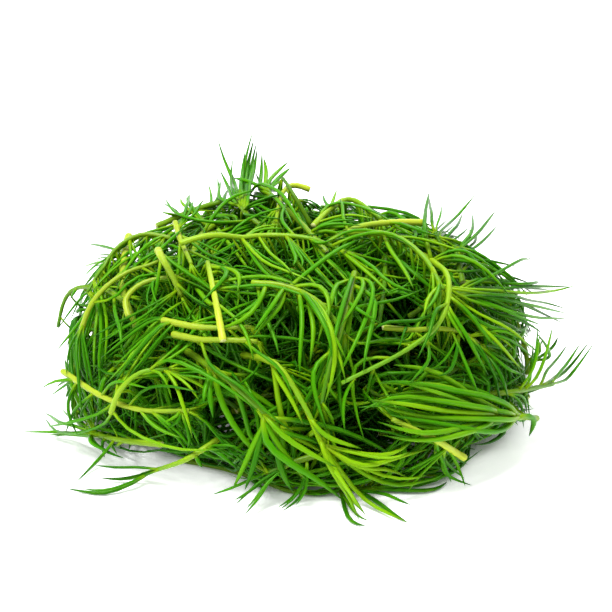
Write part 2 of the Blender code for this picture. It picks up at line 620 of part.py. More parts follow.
class SprigSolid:
    """The closed solid of one sprig: a square stem with leaves drawn out of its sides."""

    def __init__(self, sprig: Sprig) -> None:
        """Keep the sprig and work out where the rings of its stem stand."""
        self.sprig = sprig
        self.width = sprig.radius * CORNER_SHARE
        self.leaves = sorted(sprig.leaves, key=lambda leaf: leaf.node)
        self.ways = self.stem_ways()
        self.frames = self.turned(sprig.stem, self.ways)

    def stem_ways(self) -> list[float]:
        """Return where along the stem its rings stand: two at each leaf, and some between."""
        ways = [0.0]
        for leaf in self.leaves:
            ways += self.evenly(ways[-1], leaf.node - leaf.radius)
            ways.append(leaf.node + leaf.radius)
        return ways + self.evenly(ways[-1], self.sprig.stem.length)

    @staticmethod
    def evenly(first: float, last: float) -> list[float]:
        """Return evenly spaced ways after one and up to another."""
        parts = max(1, math.ceil((last - first) / STEM_RUN))
        return [first + (last - first) * j / parts for j in range(1, parts + 1)]

    def stem_radius(self, way: float) -> float:
        """Return the half-diagonal of the stem at a way along it."""
        return self.width * (1 - STEM_TAPER * way / self.sprig.stem.length)

    @staticmethod
    def turned(path: Path, ways: list[float]) -> list[tuple[Vector, Vector, Vector]]:
        """Return centre, side and rise of each ring, turned as little as can be from one to the next."""
        ahead = path.heading(0)
        side = ahead.cross(Vector((0, 0, 1)))
        side = side.normalized() if side.length > 0.1 else Vector((1, 0, 0))
        rise = side.cross(ahead).normalized()
        frames = []
        for way in ways:
            now = path.heading(way)
            turn = ahead.rotation_difference(now)
            side, rise, ahead = turn @ side, turn @ rise, now
            frames.append((path.at(way), side, rise))
        return frames

    def stem_limb(self) -> Limb:
        """Return the stem as a limb."""
        return Limb([f[0] for f in self.frames], [self.stem_radius(w) for w in self.ways])

    def leaf_face_way(self, leaf: Leaf) -> tuple[Vector, Vector]:
        """Return the middle and the outward direction of the stem face that a leaf is drawn from."""
        row = min(range(len(self.ways)), key=lambda k: abs(self.ways[k] - (leaf.node - leaf.radius)))
        _, side, rise = self.frames[row]
        middle = self.sprig.stem.at(leaf.node)
        lean = leaf.path.at(LEAF_LEAVING) - middle
        out = max((side, -side, rise, -rise), key=lambda way: way.dot(lean))
        return middle + out * (self.stem_radius(leaf.node) * SQUARE_SHARE), out

    def leaf_limb(self, leaf: Leaf) -> Limb:
        """Return a leaf as a limb, led clear of its own stem."""
        root, out = self.leaf_face_way(leaf)
        centres = [root, root + out * (leaf.radius + GAP) + leaf.path.heading(0) * GAP]
        count = max(2, round((leaf.path.length - LEAF_LEAVING) / LEAF_RUN))
        stem = self.sprig.stem.resampled(STEP).points
        for k in range(1, count + 1):
            spot = leaf.path.at(LEAF_LEAVING + (leaf.path.length - LEAF_LEAVING) * k / count)
            nearest = min(stem, key=lambda p: (p - spot).length)
            need = self.width + leaf.radius + GAP
            if (spot - nearest).length < need:
                away = spot - nearest
                away = away.normalized() if away.length > GAP else out
                spot = nearest + away * need
            spot.z = max(spot.z, leaf.radius)
            centres.append(spot)
        last = len(centres) - 1
        radii = [leaf.radius * (1 - (1 - TIP_SHARE) * (k / last) ** 1.5) for k in range(last + 1)]
        return Limb(centres, radii)

    def draw_out(self, mesh: bmesh.types.BMesh, face: bmesh.types.BMFace, centre: Vector, side: Vector,
                 rise: Vector, radius: float, old: tuple[Vector, Vector]) -> bmesh.types.BMFace:
        """Extrude a face to a new square ring.

        Args:
            mesh: The sprig's mesh.
            face: The square face that is drawn out.
            centre: The middle of the new ring.
            side: The new ring's direction for the old one's first.
            rise: The new ring's direction for the old one's second.
            radius: Half the new square's diagonal.
            old: The two directions of the face's own square.

        Returns:
            The face at the new ring.
        """
        middle = face.calc_center_median()
        end = bmesh.ops.extrude_discrete_faces(mesh, faces=[face])["faces"][0]
        for vert in end.verts:
            away = vert.co - middle
            left = math.copysign(SQUARE_SHARE, away.dot(old[0]))
            high = math.copysign(SQUARE_SHARE, away.dot(old[1]))
            vert.co = centre + (side * left + rise * high) * radius
        return end

    def build(self, limbs: list[tuple[Leaf, Limb]]) -> bmesh.types.BMesh:
        """Return the mesh: the stem drawn out ring by ring, then each leaf from its face."""
        mesh = bmesh.new()
        bmesh.ops.create_cube(mesh, size=1)
        ends = [self.frames[0], self.frames[1]]
        for vert in mesh.verts:
            upper = vert.co.z > 0
            centre, side, rise = ends[upper]
            left, high = math.copysign(SQUARE_SHARE, vert.co.x), math.copysign(SQUARE_SHARE, vert.co.y)
            vert.co = centre + (side * left + rise * high) * self.stem_radius(self.ways[upper])
        face = min(mesh.faces, key=lambda f: (f.calc_center_median() - self.frames[1][0]).length)
        for k in range(2, len(self.frames)):
            centre, side, rise = self.frames[k]
            old = self.frames[k - 1][1:]
            face = self.draw_out(mesh, face, centre, side, rise, self.stem_radius(self.ways[k]), old)
        mesh.normal_update()
        for leaf, limb in limbs:
            self.draw_leaf(mesh, leaf, limb)
        for vert in mesh.verts:
            vert.co.z = max(vert.co.z, 0)
        bmesh.ops.recalc_face_normals(mesh, faces=mesh.faces)
        return mesh

    def draw_leaf(self, mesh: bmesh.types.BMesh, leaf: Leaf, limb: Limb) -> None:
        """Draw one leaf out of the stem's side."""
        root, out = self.leaf_face_way(leaf)
        along = self.sprig.stem.heading(leaf.node)
        across = out.cross(along).normalized()
        face = min(mesh.faces, key=lambda f: (f.calc_center_median() - root).length)
        ahead = out
        old = (along, across)
        side, rise = old
        for k in range(1, len(limb.centres)):
            before = limb.centres[k] - limb.centres[k - 1]
            after = limb.centres[k + 1] - limb.centres[k] if k + 1 < len(limb.centres) else before
            now = (before.normalized() + after.normalized()).normalized()
            turn = ahead.rotation_difference(now)
            side, rise, ahead = turn @ side, turn @ rise, now
            face = self.draw_out(mesh, face, limb.centres[k], side, rise, limb.radii[k], old)
            old = (side, rise)


def clear_leaves(solids: list[SprigSolid]) -> dict[str, list[tuple[Leaf, Limb]]]:
    """Return the leaves of each sprig that keep clear of all other stems and leaves."""
    stems = {solid.sprig.name: solid.stem_limb() for solid in solids}
    kept = {solid.sprig.name: [] for solid in solids}
    for solid in solids:
        name = solid.sprig.name
        for leaf in solid.leaves:
            limb = solid.leaf_limb(leaf)
            others = [stem.bars(0) for owner, stem in stems.items() if owner != name]
            for owner, group in kept.items():
                others += [other.bars(0) for _, other in group if owner != name]
            own = [other.bars(2) for _, other in kept[name]]
            clear = leaf.radius + GAP
            far = capsule_gap(limb.samples(0), *map(np.concatenate, zip(*others)))
            near = capsule_gap(limb.samples(2), *map(np.concatenate, zip(*own))) if own else clear
            if far >= clear and near >= clear:
                kept[name].append((leaf, limb))
    return kept


def finish_colour(name: str) -> bpy.types.Material:
    """Return a sprig's own material, between leaf green and stem yellow-green."""
    dice = random.Random(name)
    share = dice.uniform(0, 0.5)
    colour = [a + (b - a) * share for a, b in zip(LEAF_GREEN, STEM_GREEN)]
    material = bpy.data.materials.new(name)
    material.use_nodes = True
    shader = material.node_tree.nodes["Principled BSDF"]
    shader.inputs["Base Color"].default_value = (*colour, 1)
    shader.inputs["Roughness"].default_value = 0.45
    shader.inputs["Metallic"].default_value = 0
    return material


def add_sprig(solid: SprigSolid, limbs: list[tuple[Leaf, Limb]], holder: bpy.types.Object,
              home: bpy.types.Collection) -> None:
    """Add a sprig's object, with its origin at the stem's cut end."""
    name = solid.sprig.name
    mesh = solid.build(limbs)
    origin = solid.sprig.stem.points[0]
    for vert in mesh.verts:
        vert.co -= origin
    data = bpy.data.meshes.new(name)
    mesh.to_mesh(data)
    mesh.free()
    data.materials.append(finish_colour(name))
    thing = bpy.data.objects.new(name, data)
    thing.location = origin
    thing.parent = holder
    home.objects.link(thing)


def main() -> None:
    """Clear the scene, grow the heap and build every sprig."""
    for thing in list(bpy.data.objects):
        bpy.data.objects.remove(thing, do_unlink=True)
    home = bpy.data.collections.new("romeritos")
    bpy.context.scene.collection.children.link(home)
    holder = bpy.data.objects.new("romeritos_heap", None)
    holder.location = -OUTLINE_SHIFT
    home.objects.link(holder)
    heap = grow_heap()
    solids = [SprigSolid(sprig) for sprig in heap.sprigs]
    kept = clear_leaves(solids)
    for solid in solids:
        add_sprig(solid, kept[solid.sprig.name], holder, home)


main()
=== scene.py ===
"""The looks of a loose heap of romeritos: each cut sprig with its full coat of needle leaves.

The first half lays the same stems and first leaves as the construction does, with the same
numbers. The second half clads every sprig with the rest of its leaves, fills the gaps between
them with smaller sprigs, and dresses them. A strand is a bent copy of one of a few models.
+X is to the right, -Y to the front, +Z up, and lengths are in metres.
"""

import logging
import math
import random
from dataclasses import dataclass, field
from enum import Enum

import bpy
import numpy as np
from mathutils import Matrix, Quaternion, Vector


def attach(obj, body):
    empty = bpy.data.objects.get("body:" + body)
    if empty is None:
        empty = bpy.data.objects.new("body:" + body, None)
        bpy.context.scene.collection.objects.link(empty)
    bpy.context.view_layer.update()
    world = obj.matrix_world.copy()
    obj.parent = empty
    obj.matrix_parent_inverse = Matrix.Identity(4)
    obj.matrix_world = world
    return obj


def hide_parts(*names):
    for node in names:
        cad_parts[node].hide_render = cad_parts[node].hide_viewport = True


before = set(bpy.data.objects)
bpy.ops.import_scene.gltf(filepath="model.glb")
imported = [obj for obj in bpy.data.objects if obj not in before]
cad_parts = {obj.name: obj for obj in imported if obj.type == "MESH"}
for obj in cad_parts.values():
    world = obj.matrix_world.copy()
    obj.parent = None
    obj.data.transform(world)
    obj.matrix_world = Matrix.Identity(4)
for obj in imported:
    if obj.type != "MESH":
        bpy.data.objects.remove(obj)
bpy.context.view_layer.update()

LOG = logging.getLogger("romeritos")

MM = 0.001

# The mound: a rounded dome, fuller than an ellipsoid
MOUND_HALF_WIDTH = 74 * MM
MOUND_HALF_DEPTH = 68 * MM
MOUND_HEIGHT = 56 * MM
MOUND_FULLNESS = 2.5
# The placed paths are given as seen from this angle above the floor
SIGHT_ANGLE = math.radians(25)
# The stretch of a line of sight that is searched for the mound, in millimetres from its middle
NEAR_SIGHT = 110
FAR_SIGHT = -200
# The least that a share is divided by, for the mound's plan and for a stretch of a path
LEAST_PLAN = 1e-6
LEAST_RUN = 1e-9
# How far the middle of the whole outline, stray tips included, lies from the mound's middle
OUTLINE_SHIFT = Vector((2.1 * MM, -9.4 * MM, 0))

# Strands
STEM_THICKNESS = 2.0 * MM
LEAF_THICKNESS = 1.5 * MM
LEAF_LENGTH = 34 * MM
SHORTEST_LEAF = 12 * MM
SHORTEST_STEM = 25 * MM
SKELETON_LEAVES = 5
LEAF_SPREAD = (0.6, 1.0)
LEAF_LIMIT = 0.97
LEAF_DROOP = 0.03
STEM_DROOP = 0.01
NODE_GAP = 3 * MM
PLACED_NODE_GAP = 2.6 * MM
GAP = 0.3 * MM
SAFE_GAP = 0.9 * MM
# A strand keeps this many radii from the rest of its own sprig, after its first steps
OWN_GAP_RADII = 2.6
FREE_STEPS = 3
FREE_POINTS = 2
# A stem on the floor has its middle line at this share of its radius, pressed flat beneath
LYING_SHARE = 0.8
FLOOR_SLACK = 0.008 * MM
LOW_LAYER = 3 * MM

# How a strand feels its way: the bends it tries, the turns of each, and its own lasting curl
BENDS = (0, 0.25, 0.5, 0.8)
TURNS = 6
CURL = 0.06
STEM_TRIES = 12
LEAF_TRIES = 8
START_SHAKE = 4 * MM
START_LEAN = 0.4
EASING = 2
PULL = 3
# The share of its outward run that a strand loses outside the mound
TURN_BACK = 0.5
# A try is good enough at this share of the length asked for
LONG_ENOUGH_LEAF = 0.8
LONG_ENOUGH_STEM = 0.85

# The leaves that grow along a stem of the construction: their nodes, sizes and sunk roots
NODE_SHAKE = 0.2
FIRST_NODE = 0.12
NODE_SHARE = 0.8
LEAF_LENGTHS = (0.75, 1.2)
LEAF_THICKNESSES = (0.85, 1.1)
ROOT_SHARE = 0.5
STEM_THICKNESSES = (0.75, 1.05)
# A placed leaf finds its node among so many places of the stem, off its ends
NODE_PLACES = 60
END_PLACES = 3

# A placed path is raised over what lies beneath it, step by step, at most so far, in a low hump
LIFT_STEP = 0.4 * MM
MOST_LIFT = 12 * MM
HUMP_FALL = 0.06 * MM

# Sprigs that grow by rule: how many, how long, and on which level of the mound
BASE_SPRIGS = 7
BASE_LENGTH = 62 * MM
BASE_LEVEL = 0.78
BASE_LIMIT = 0.9
BASE_INWARD = 0.5
SHELL_SPRIGS = 10
SHELL_LENGTH = 66 * MM
SHELL_LEVEL = 0.9
SHELL_LIMIT = 0.92
SHELL_FROM = math.radians(-8)
SHELL_SPAN = math.radians(196)
SHELL_LOWEST = 0.18
SHELL_CLIMB = 0.72
CORE_SPRIGS = 5
CORE_LENGTH = 60 * MM
CORE_LEVEL = 0.5
CORE_LIMIT = 0.75
CORE_LOWEST = 0.15
CORE_CLIMB = 0.6
CORE_RISE = 0.2

# The grid that holds how much room there is around each point
CELL = 0.8 * MM
ROOM = 3 * MM
GRID_HALF = 108 * MM
GRID_TOP = 96 * MM
STEP = 2 * MM

GOLDEN_TURN = math.radians(137.5)
GOLDEN_SHARE = 0.618


class Mound:
    """The dome that the sprigs fill."""

    def level(self, point: Vector) -> float:
        """Return 1 on the dome's surface, less inside it and more outside."""
        plan = math.hypot(point.x / MOUND_HALF_WIDTH, point.y / MOUND_HALF_DEPTH)
        rise = max(point.z, 0) / MOUND_HEIGHT
        return (plan**MOUND_FULLNESS + rise**MOUND_FULLNESS) ** (1 / MOUND_FULLNESS)

    def outward(self, point: Vector) -> Vector:
        """Return the direction straight out of the dome at a point."""
        plan = max(math.hypot(point.x / MOUND_HALF_WIDTH, point.y / MOUND_HALF_DEPTH), LEAST_PLAN)
        rise = max(point.z, 0) / MOUND_HEIGHT
        pull = plan ** (MOUND_FULLNESS - 2)
        lean = rise ** (MOUND_FULLNESS - 1) / MOUND_HEIGHT
        out = Vector((pull * point.x / MOUND_HALF_WIDTH**2, pull * point.y / MOUND_HALF_DEPTH**2, lean))
        return out.normalized() if out.length > 0 else Vector((0, 0, 1))

    def facing(self, across: float, up: float, lift: float) -> Vector:
        """Return the point of the mound, or of the floor, that is seen at a place in the front view.

        Args:
            across: Millimetres to the right of the mound's middle.
            up: Millimetres above it, square to the line of sight.
            lift: Millimetres by which the point stands out of the surface.

        Returns:
            The point, in metres. Beside and above the mound it is the nearest one to the mound.
        """
        sine, cosine = math.sin(SIGHT_ANGLE), math.cos(SIGHT_ANGLE)
        raised = 1 + lift * MM / MOUND_HEIGHT
        best, best_level = None, math.inf
        for toward in range(NEAR_SIGHT, FAR_SIGHT, -1):
            spot = Vector((across, up * sine - toward * cosine, up * cosine + toward * sine)) * MM
            level = self.level(spot)
            if level > best_level:
                break
            best, best_level = spot, level
            if level <= raised or spot.z <= lift * MM:
                break
        return best

    def on_shell(self, turn: float, climb: float, level: float) -> Vector:
        """Return a point at an azimuth and a climb (0 at the foot, 1 at the top) on an inner shell."""
        rise = math.sin(climb * math.pi / 2)
        flat = (1 - rise**MOUND_FULLNESS) ** (1 / MOUND_FULLNESS)
        around = Vector((MOUND_HALF_WIDTH * math.cos(turn), MOUND_HALF_DEPTH * math.sin(turn), 0))
        return (around * flat + Vector((0, 0, MOUND_HEIGHT * rise))) * level


class Room:
    """How far each point of the heap's space is from the strands laid so far."""

    def __init__(self) -> None:
        """Start with an empty space."""
        across = int(2 * GRID_HALF / CELL)
        high = int((GRID_TOP + ROOM) / CELL)
        self.low = Vector((-GRID_HALF, -GRID_HALF, -ROOM))
        self.size = (across, across, high)
        self.free = np.full(self.size, ROOM, dtype=np.float32)
        self.marks = [self.low[k] + CELL * (np.arange(self.size[k]) + 0.5) for k in range(3)]

    def at(self, point: Vector) -> float:
        """Return the room at a point, as the distance to the nearest strand's surface."""
        cell = [int((point[k] - self.low[k]) / CELL) for k in range(3)]
        if any(cell[k] < 0 or cell[k] >= self.size[k] for k in range(3)):
            return ROOM
        return float(self.free[cell[0], cell[1], cell[2]])

    def lay(self, path: "Path", radius: float) -> None:
        """Take the space of a strand."""
        reach = radius + ROOM
        for spot in path.resampled(CELL).points:
            span = []
            square = []
            for k in range(3):
                first = max(0, int((spot[k] - reach - self.low[k]) / CELL))
                last = min(self.size[k], int((spot[k] + reach - self.low[k]) / CELL) + 1)
                span.append(slice(first, last))
                square.append((self.marks[k][first:last] - spot[k]) ** 2)
            away = np.sqrt(square[0][:, None, None] + square[1][None, :, None] + square[2][None, None, :])
            block = self.free[span[0], span[1], span[2]]
            np.minimum(block, away - radius, out=block)


class Path:
    """A run of points with its length measured along it."""

    def __init__(self, points: list[Vector]) -> None:
        """Keep the points and measure the way to each."""
        self.points = points
        self.marks = [0.0]
        for a, b in zip(points, points[1:]):
            self.marks.append(self.marks[-1] + (b - a).length)

    @property
    def length(self) -> float:
        """Return the whole length."""
        return self.marks[-1]

    def at(self, way: float) -> Vector:
        """Return the point a given way along."""
        way = min(max(way, 0), self.length)
        for k in range(1, len(self.points)):
            if way <= self.marks[k]:
                share = (way - self.marks[k - 1]) / max(self.marks[k] - self.marks[k - 1], LEAST_RUN)
                return self.points[k - 1].lerp(self.points[k], share)
        return self.points[-1].copy()

    def heading(self, way: float) -> Vector:
        """Return the direction in which the path runs there."""
        near = self.at(way - STEP / 2)
        return (self.at(way + STEP / 2) - near).normalized()

    def resampled(self, spacing: float) -> "Path":
        """Return the same path with evenly spaced points."""
        count = max(1, round(self.length / spacing))
        return Path([self.at(self.length * k / count) for k in range(count + 1)])

    def eased(self, rounds: int) -> "Path":
        """Return the path with its kinks smoothed and its ends kept."""
        points = [p.copy() for p in self.points]
        for _ in range(rounds):
            inner = [(a + b * 2 + c) / 4 for a, b, c in zip(points, points[1:], points[2:])]
            points = [points[0], *inner, points[-1]]
        return Path(points)


def smooth_through(corners: list[Vector]) -> Path:
    """Return a smooth path through a few points, with a point about every step."""
    ends = [corners[0] * 2 - corners[1], *corners, corners[-1] * 2 - corners[-2]]
    points = []
    for a, b, c, d in zip(ends, ends[1:], ends[2:], ends[3:]):
        count = max(2, int((c - b).length / STEP))
        for k in range(count):
            t = k / count
            bend = (a * 2 - b * 5 + c * 4 - d) * (t * t) + (b * 3 - a - c * 3 + d) * (t * t * t)
            points.append((b * 2 + (c - a) * t + bend) / 2)
    points.append(corners[-1].copy())
    return Path(points).resampled(STEP)


@dataclass
class Leaf:
    """One needle leaf."""

    path: Path
    radius: float
    node: float


@dataclass
class Sprig:
    """A stem and its leaves."""

    name: str
    stem: Path
    radius: float
    leaves: list[Leaf] = field(default_factory=list)


@dataclass(frozen=True)
class Placed:
    """A sprig placed one by one: places are (across, up, lift) in millimetres in the front view."""

    name: str
    stem: tuple[tuple[float, float, float], ...]
    thickness: float
    leaves: tuple[tuple[tuple[float, float, float], ...], ...] = ()
    grown: int = 2


# The sprigs that are placed one by one: the top and the back edge, the left, then the front and right
CROWN = (
    Placed("crown_arch_left", ((-43, 52, 1), (-29, 58, 1), (-19, 60, 1), (-9, 59, -1)), 2.0,
           (((-31, 56, 3), (-37, 57, 5), (-41, 59, 5)), ((-25, 58, 2), (-24, 63, 3), (-25, 67, 4)))),
    Placed("top_tuft", ((-7, 50, -3), (-13, 53, 0), (-17, 57, 2), (-18, 62, 3)), 1.8,
           (((-17, 60, 3), (-16, 70, 3), (-14, 79, 3)), ((-17, 59, 3), (-14, 69, 3), (-13, 76, 3)),
            ((-18, 58, 3), (-20, 66, 4), (-23, 72, 4), (-25, 79, 4))), 0),
    Placed("crown_crest", ((8, 44, -3), (1, 52, 1), (-6, 59, 3), (-11, 64, 3)), 1.9,
           (((-11, 64, 3), (-10, 69, 3), (-11, 73, 4)), ((-10, 65, 3), (-6, 68, 3), (-3, 70, 4)),
            ((-9, 63, 3), (-15, 63, 4), (-20, 65, 5))), 1),
    Placed("crown_hook", ((3, 62, 4), (-2, 62, 4), (-5, 59, 3), (-7, 52, 1)), 1.8, (), 2),
    Placed("crown_needle", ((3, 48, -6), (-2, 55, 0), (-5, 60, 2)), 1.5, (), 1),
    Placed("crown_arc", ((4, 52, 1), (10, 58, 2), (16, 60, 2), (24, 54, 2)), 2.0,
           (((9, 57, 2), (10, 60, 3), (11, 63, 4)),), 3),
    Placed("crown_stub", ((37, 53, 3), (28, 53, 3), (19, 52, 3), (13, 50, 1)), 2.2, (), 3),
    Placed("crown_bow", ((14, 50, 3), (27, 49, 4), (36, 43, 4), (42, 33, 3)), 2.0, (), 3),
    Placed("crown_needles", ((43, 40, -3), (42, 46, 1), (40, 50, 3)), 2.0,
           (((38, 49, 3), (39, 55, 4), (39, 61, 5)), ((40, 49, 3), (48, 56, 4), (53, 62, 4)),
            ((39, 47, 2), (46, 51, 4), (49, 56, 4))), 1),
    Placed("right_needles", ((48, 35, 0), (47, 40, 1), (46, 46, 3)), 2.0,
           (((45, 44, 3), (52, 49, 5), (59, 57, 5)), ((46, 45, 3), (51, 50, 5), (52, 56, 5)),
            ((44, 44, 2), (55, 42, 5), (64, 40, 6))), 1),
)

LEFT = (
    Placed("left_stub", ((-51, 49, 3), (-52, 42, 3), (-52, 33, 1), (-48, 22, -2)), 2.7,
           (((-52, 44, 3), (-58, 46, 4), (-64, 47, 5)), ((-52, 42, 3), (-59, 38, 3), (-65, 31, 2)))),
    Placed("left_arc", ((-50, 28, 0), (-57, 32, 2), (-66, 31, 2), (-72, 22, 2)), 1.7, (), 1),
    Placed("left_curl", ((-50, 25, 3), (-51, 30, 4), (-46, 35, 4), (-36, 37, 3)), 1.9, (), 2),
    Placed("left_olive_stem", ((-64, 21, 3), (-58, 29, 3), (-49, 37, 3), (-41, 41, 3)), 1.7, (), 3),
    Placed("left_cut_stem", ((-41, 43, 5), (-39, 39, 5), (-36, 34, 1), (-33, 28, -4)), 2.5, (), 4),
    Placed("left_upright_stem", ((-37, 53, 4), (-35, 47, 4), (-31, 38, 2)), 1.9,
           (((-36, 51, 4), (-34, 56, 5), (-33, 61, 5)),), 3),
    Placed("left_high_fan", ((-38, 47, 1), (-46, 46, 2), (-54, 40, 2), (-60, 30, 2)), 1.5, (), 5),
    Placed("left_stack_upper", ((-40, 24, 4), (-28, 22, 4), (-14, 22, 3)), 2.1, (), 2),
    Placed("left_stack_lower", ((-37, 20, 3), (-26, 18, 3), (-12, 17, 2)), 2.1, (), 2),
    Placed("left_low_stem", ((-70, 9, 3), (-58, 2, 3), (-46, -2, 3), (-32, -2, 2)), 1.9,
           (((-60, 3, 3), (-66, -2, 4), (-69, -9, 3)), ((-66, 7, 3), (-73, 6, 5), (-76, 4, 6))), 2),
    Placed("left_loop", ((-55, -3, 5), (-52, 4, 6), (-46, 9, 5), (-38, 10, 3)), 1.8, (), 3),
    Placed("left_floor_leafy", ((-40, -12, 1), (-52, -11, 1), (-62, -9, 1)), 1.9,
           (((-58, -10, 1), (-70, -9, 2), (-83, -9, 3)), ((-54, -11, 1), (-59, -17, 1), (-65, -23, 1))), 2),
    Placed("left_floor_long", ((-23, -10, -4), (-31, -15, 1), (-38, -18, 1), (-46, -21, 1)), 1.8,
           (((-44, -21, 1), (-56, -26, 1), (-68, -25, 1)),
            ((-40, -19, 1), (-50, -22, 2), (-58, -22, 2))), 2),
)

FRONT = (
    Placed("long_arch", ((-34, 43, 4), (-23, 47, 5), (-10, 49, 5), (3, 48, 5), (14, 44, 2)), 1.8, (), 4),
    Placed("bright_stub", ((-22, 18, 7), (-24, 28, 7), (-26, 37, 5), (-27, 41, 3)), 2.2, (), 2),
    Placed("second_arch", ((-14, 35, 4), (-4, 34, 5), (6, 29, 5), (13, 20, 3)), 1.8,
           (((-10, 35, 5), (-11, 30, 5), (-20, 23, 4)), ((-4, 34, 5), (-6, 27, 5), (-13, 18, 4)),
            ((2, 31, 5), (4, 22, 5), (3, 12, 4))), 1),
    Placed("front_bundle", ((-16, 13, -6), (-6, 10, 4), (1, 0, 5), (8, -14, 4)), 2.1,
           (((2, -2, 5), (9, -17, 5), (19, -32, 5)), ((5, -8, 4), (11, -20, 5), (17, -33, 3)),
            ((7, -12, 4), (18, -27, 3), (31, -34, 2))), 2),
    Placed("front_wide_leafy", ((-33, 15, -6), (-22, 8, 4), (-13, 0, 4), (-6, -7, 3)), 2.3,
           (((-12, -1, 4), (-6, -12, 4), (2, -22, 4)),), 4),
    Placed("front_left_tuft", ((4, -15, 0), (-2, -17, 1), (-9, -20, 2)), 2.0,
           (((-8, -19, 2), (-17, -23, 2), (-25, -26, 2)), ((-8, -20, 2), (-14, -25, 3), (-19, -28, 2)),
            ((-7, -18, 2), (-11, -26, 4), (-16, -32, 2))), 1),
    Placed("middle_cords", ((16, 38, 3), (13, 25, 4), (9, 12, 4), (6, 0, 3)), 2.0, (), 4),
    Placed("round_end", ((24, 22, 2), (34, 21, 1), (46, 19, -1), (56, 13, -2)), 1.7, (), 3),
    Placed("right_bow", ((33, 46, -6), (43, 37, 5), (41, 24, 5), (30, 15, 5), (12, 6, 4)), 1.9, (), 3),
    Placed("right_fan", ((70, -5, 2), (64, -4, 3), (56, -3, 3)), 2.0,
           (((62, -4, 3), (40, 1, 4), (17, -1, 5)), ((60, -3, 3), (42, 5, 4), (23, 6, 5)),
            ((57, -3, 3), (40, 9, 4), (27, 11, 5)), ((66, -4, 3), (46, -7, 4), (25, -5, 4))), 1),
    Placed("right_spray", ((32, 25, -9), (42, 31, -1), (52, 32, 4)), 1.8,
           (((46, 33, 4), (60, 38, 5), (70, 43, 5)), ((50, 32, 4), (66, 34, 5), (81, 34, 4)),
            ((51, 31, 4), (66, 29, 5), (80, 26, 4)), ((44, 32, 4), (62, 30, 6), (79, 23, 4))), 1),
    Placed("right_floor_sprig", ((50, 2, -3), (62, 3, 1), (75, 5, 3)), 1.9,
           (((72, 5, 3), (80, 9, 4), (87, 18, 5)), ((68, 4, 3), (72, 12, 4), (75, 22, 5)),
            ((66, 4, 2), (69, 12, 5), (70, 22, 6))), 2),
    Placed("right_thick_stem", ((48, -16, 4), (38, -10, 4), (25, -4, 1)), 2.3,
           (((42, -12, 4), (46, -18, 4), (48, -24, 3)), ((38, -10, 4), (42, -18, 4), (44, -23, 3))), 2),
)

# The leaves that show best, each from its base to its tip: (across, up, lift) in millimetres
SEEN_CROWN = (
    ((-17, 58, 3), (-17, 65, 3), (-15.5, 72, 3), (-14, 77, 3)),
    ((-16, 58, 3), (-15, 66, 3), (-13.5, 72, 3), (-12.8, 75, 3)),
    ((-17.5, 59, 3), (-17, 66, 3), (-16.2, 71, 3)),
    ((-15.5, 57, 3), (-14.5, 63, 3), (-13.5, 69, 3)),
    ((-11, 63, 3), (-7, 67, 4), (-3.5, 70, 4)),
    ((-13, 61, 3), (-11.5, 66, 4), (-11.3, 72, 4)),
    ((-24, 58, 3), (-24.5, 62, 4), (-24, 66, 4)),
    ((-18, 53, 3), (-31, 53, 4), (-37, 55, 5), (-40, 59, 5)),
    ((-21, 57, 3), (-12, 57, 4), (-5, 58, 3)),
    ((-22, 56, 3), (-15, 55, 4), (-5, 54, 4)),
    ((-19, 51, 3), (-10, 52, 4), (-4, 51, 4)),
    ((-24, 50, 3), (-14, 54, 4), (-3, 56, 3)),
    ((-15, 64, 4), (-9, 62, 5), (-4, 58, 5), (2, 50, 4)),
    ((-11, 62, 4), (-6, 58, 5), (-2, 52, 4)),
    ((-28, 55, 3), (-20, 60, 4), (-13, 61, 4)),
    ((4, 55, 2), (10, 59, 3), (18, 58, 3), (25, 53, 3)),
    ((6, 53, 2), (14, 56, 3), (22, 54, 3)),
    ((2, 52, 3), (9, 53, 4), (18, 52, 4)),
    ((8, 49, 4), (15, 51, 5), (24, 50, 5), (32, 46, 5)),
    ((10, 45, 4), (18, 48, 5), (26, 49, 5), (34, 44, 5)),
    ((26, 52, 2), (33, 50, 4), (41, 49, 4)),
    ((30, 50, 3), (40, 47, 4), (50, 43, 4)),
    ((44, 47, 3), (50, 42, 4), (54, 35, 4)),
    ((43, 44, 3), (53, 40, 4), (61, 36, 4), (64, 33, 4)),
    ((42, 48, 2), (50, 45, 3), (58, 40, 3), (66, 34, 3), (70, 32, 3)),
    ((40, 45, 3), (48, 41, 4), (55, 36, 4), (60, 30, 4)),
    ((45, 45, 2), (52, 42, 3), (60, 37, 3), (67, 31, 3)),
    ((40, 46, 3), (48, 44, 4), (56, 38, 4)),
    ((36, 47, 3), (37, 54, 4), (38, 60, 4)),
    ((-46, 47, 2), (-52, 44, 3), (-58, 39, 4)),
    ((-32, 57, 3), (-34, 60, 4), (-33, 62, 4)),
    ((-2, 47, 4), (-6, 52, 5), (-4, 57, 5)),
    ((12, 52, 3), (13, 58, 4), (12, 60, 4)),
)

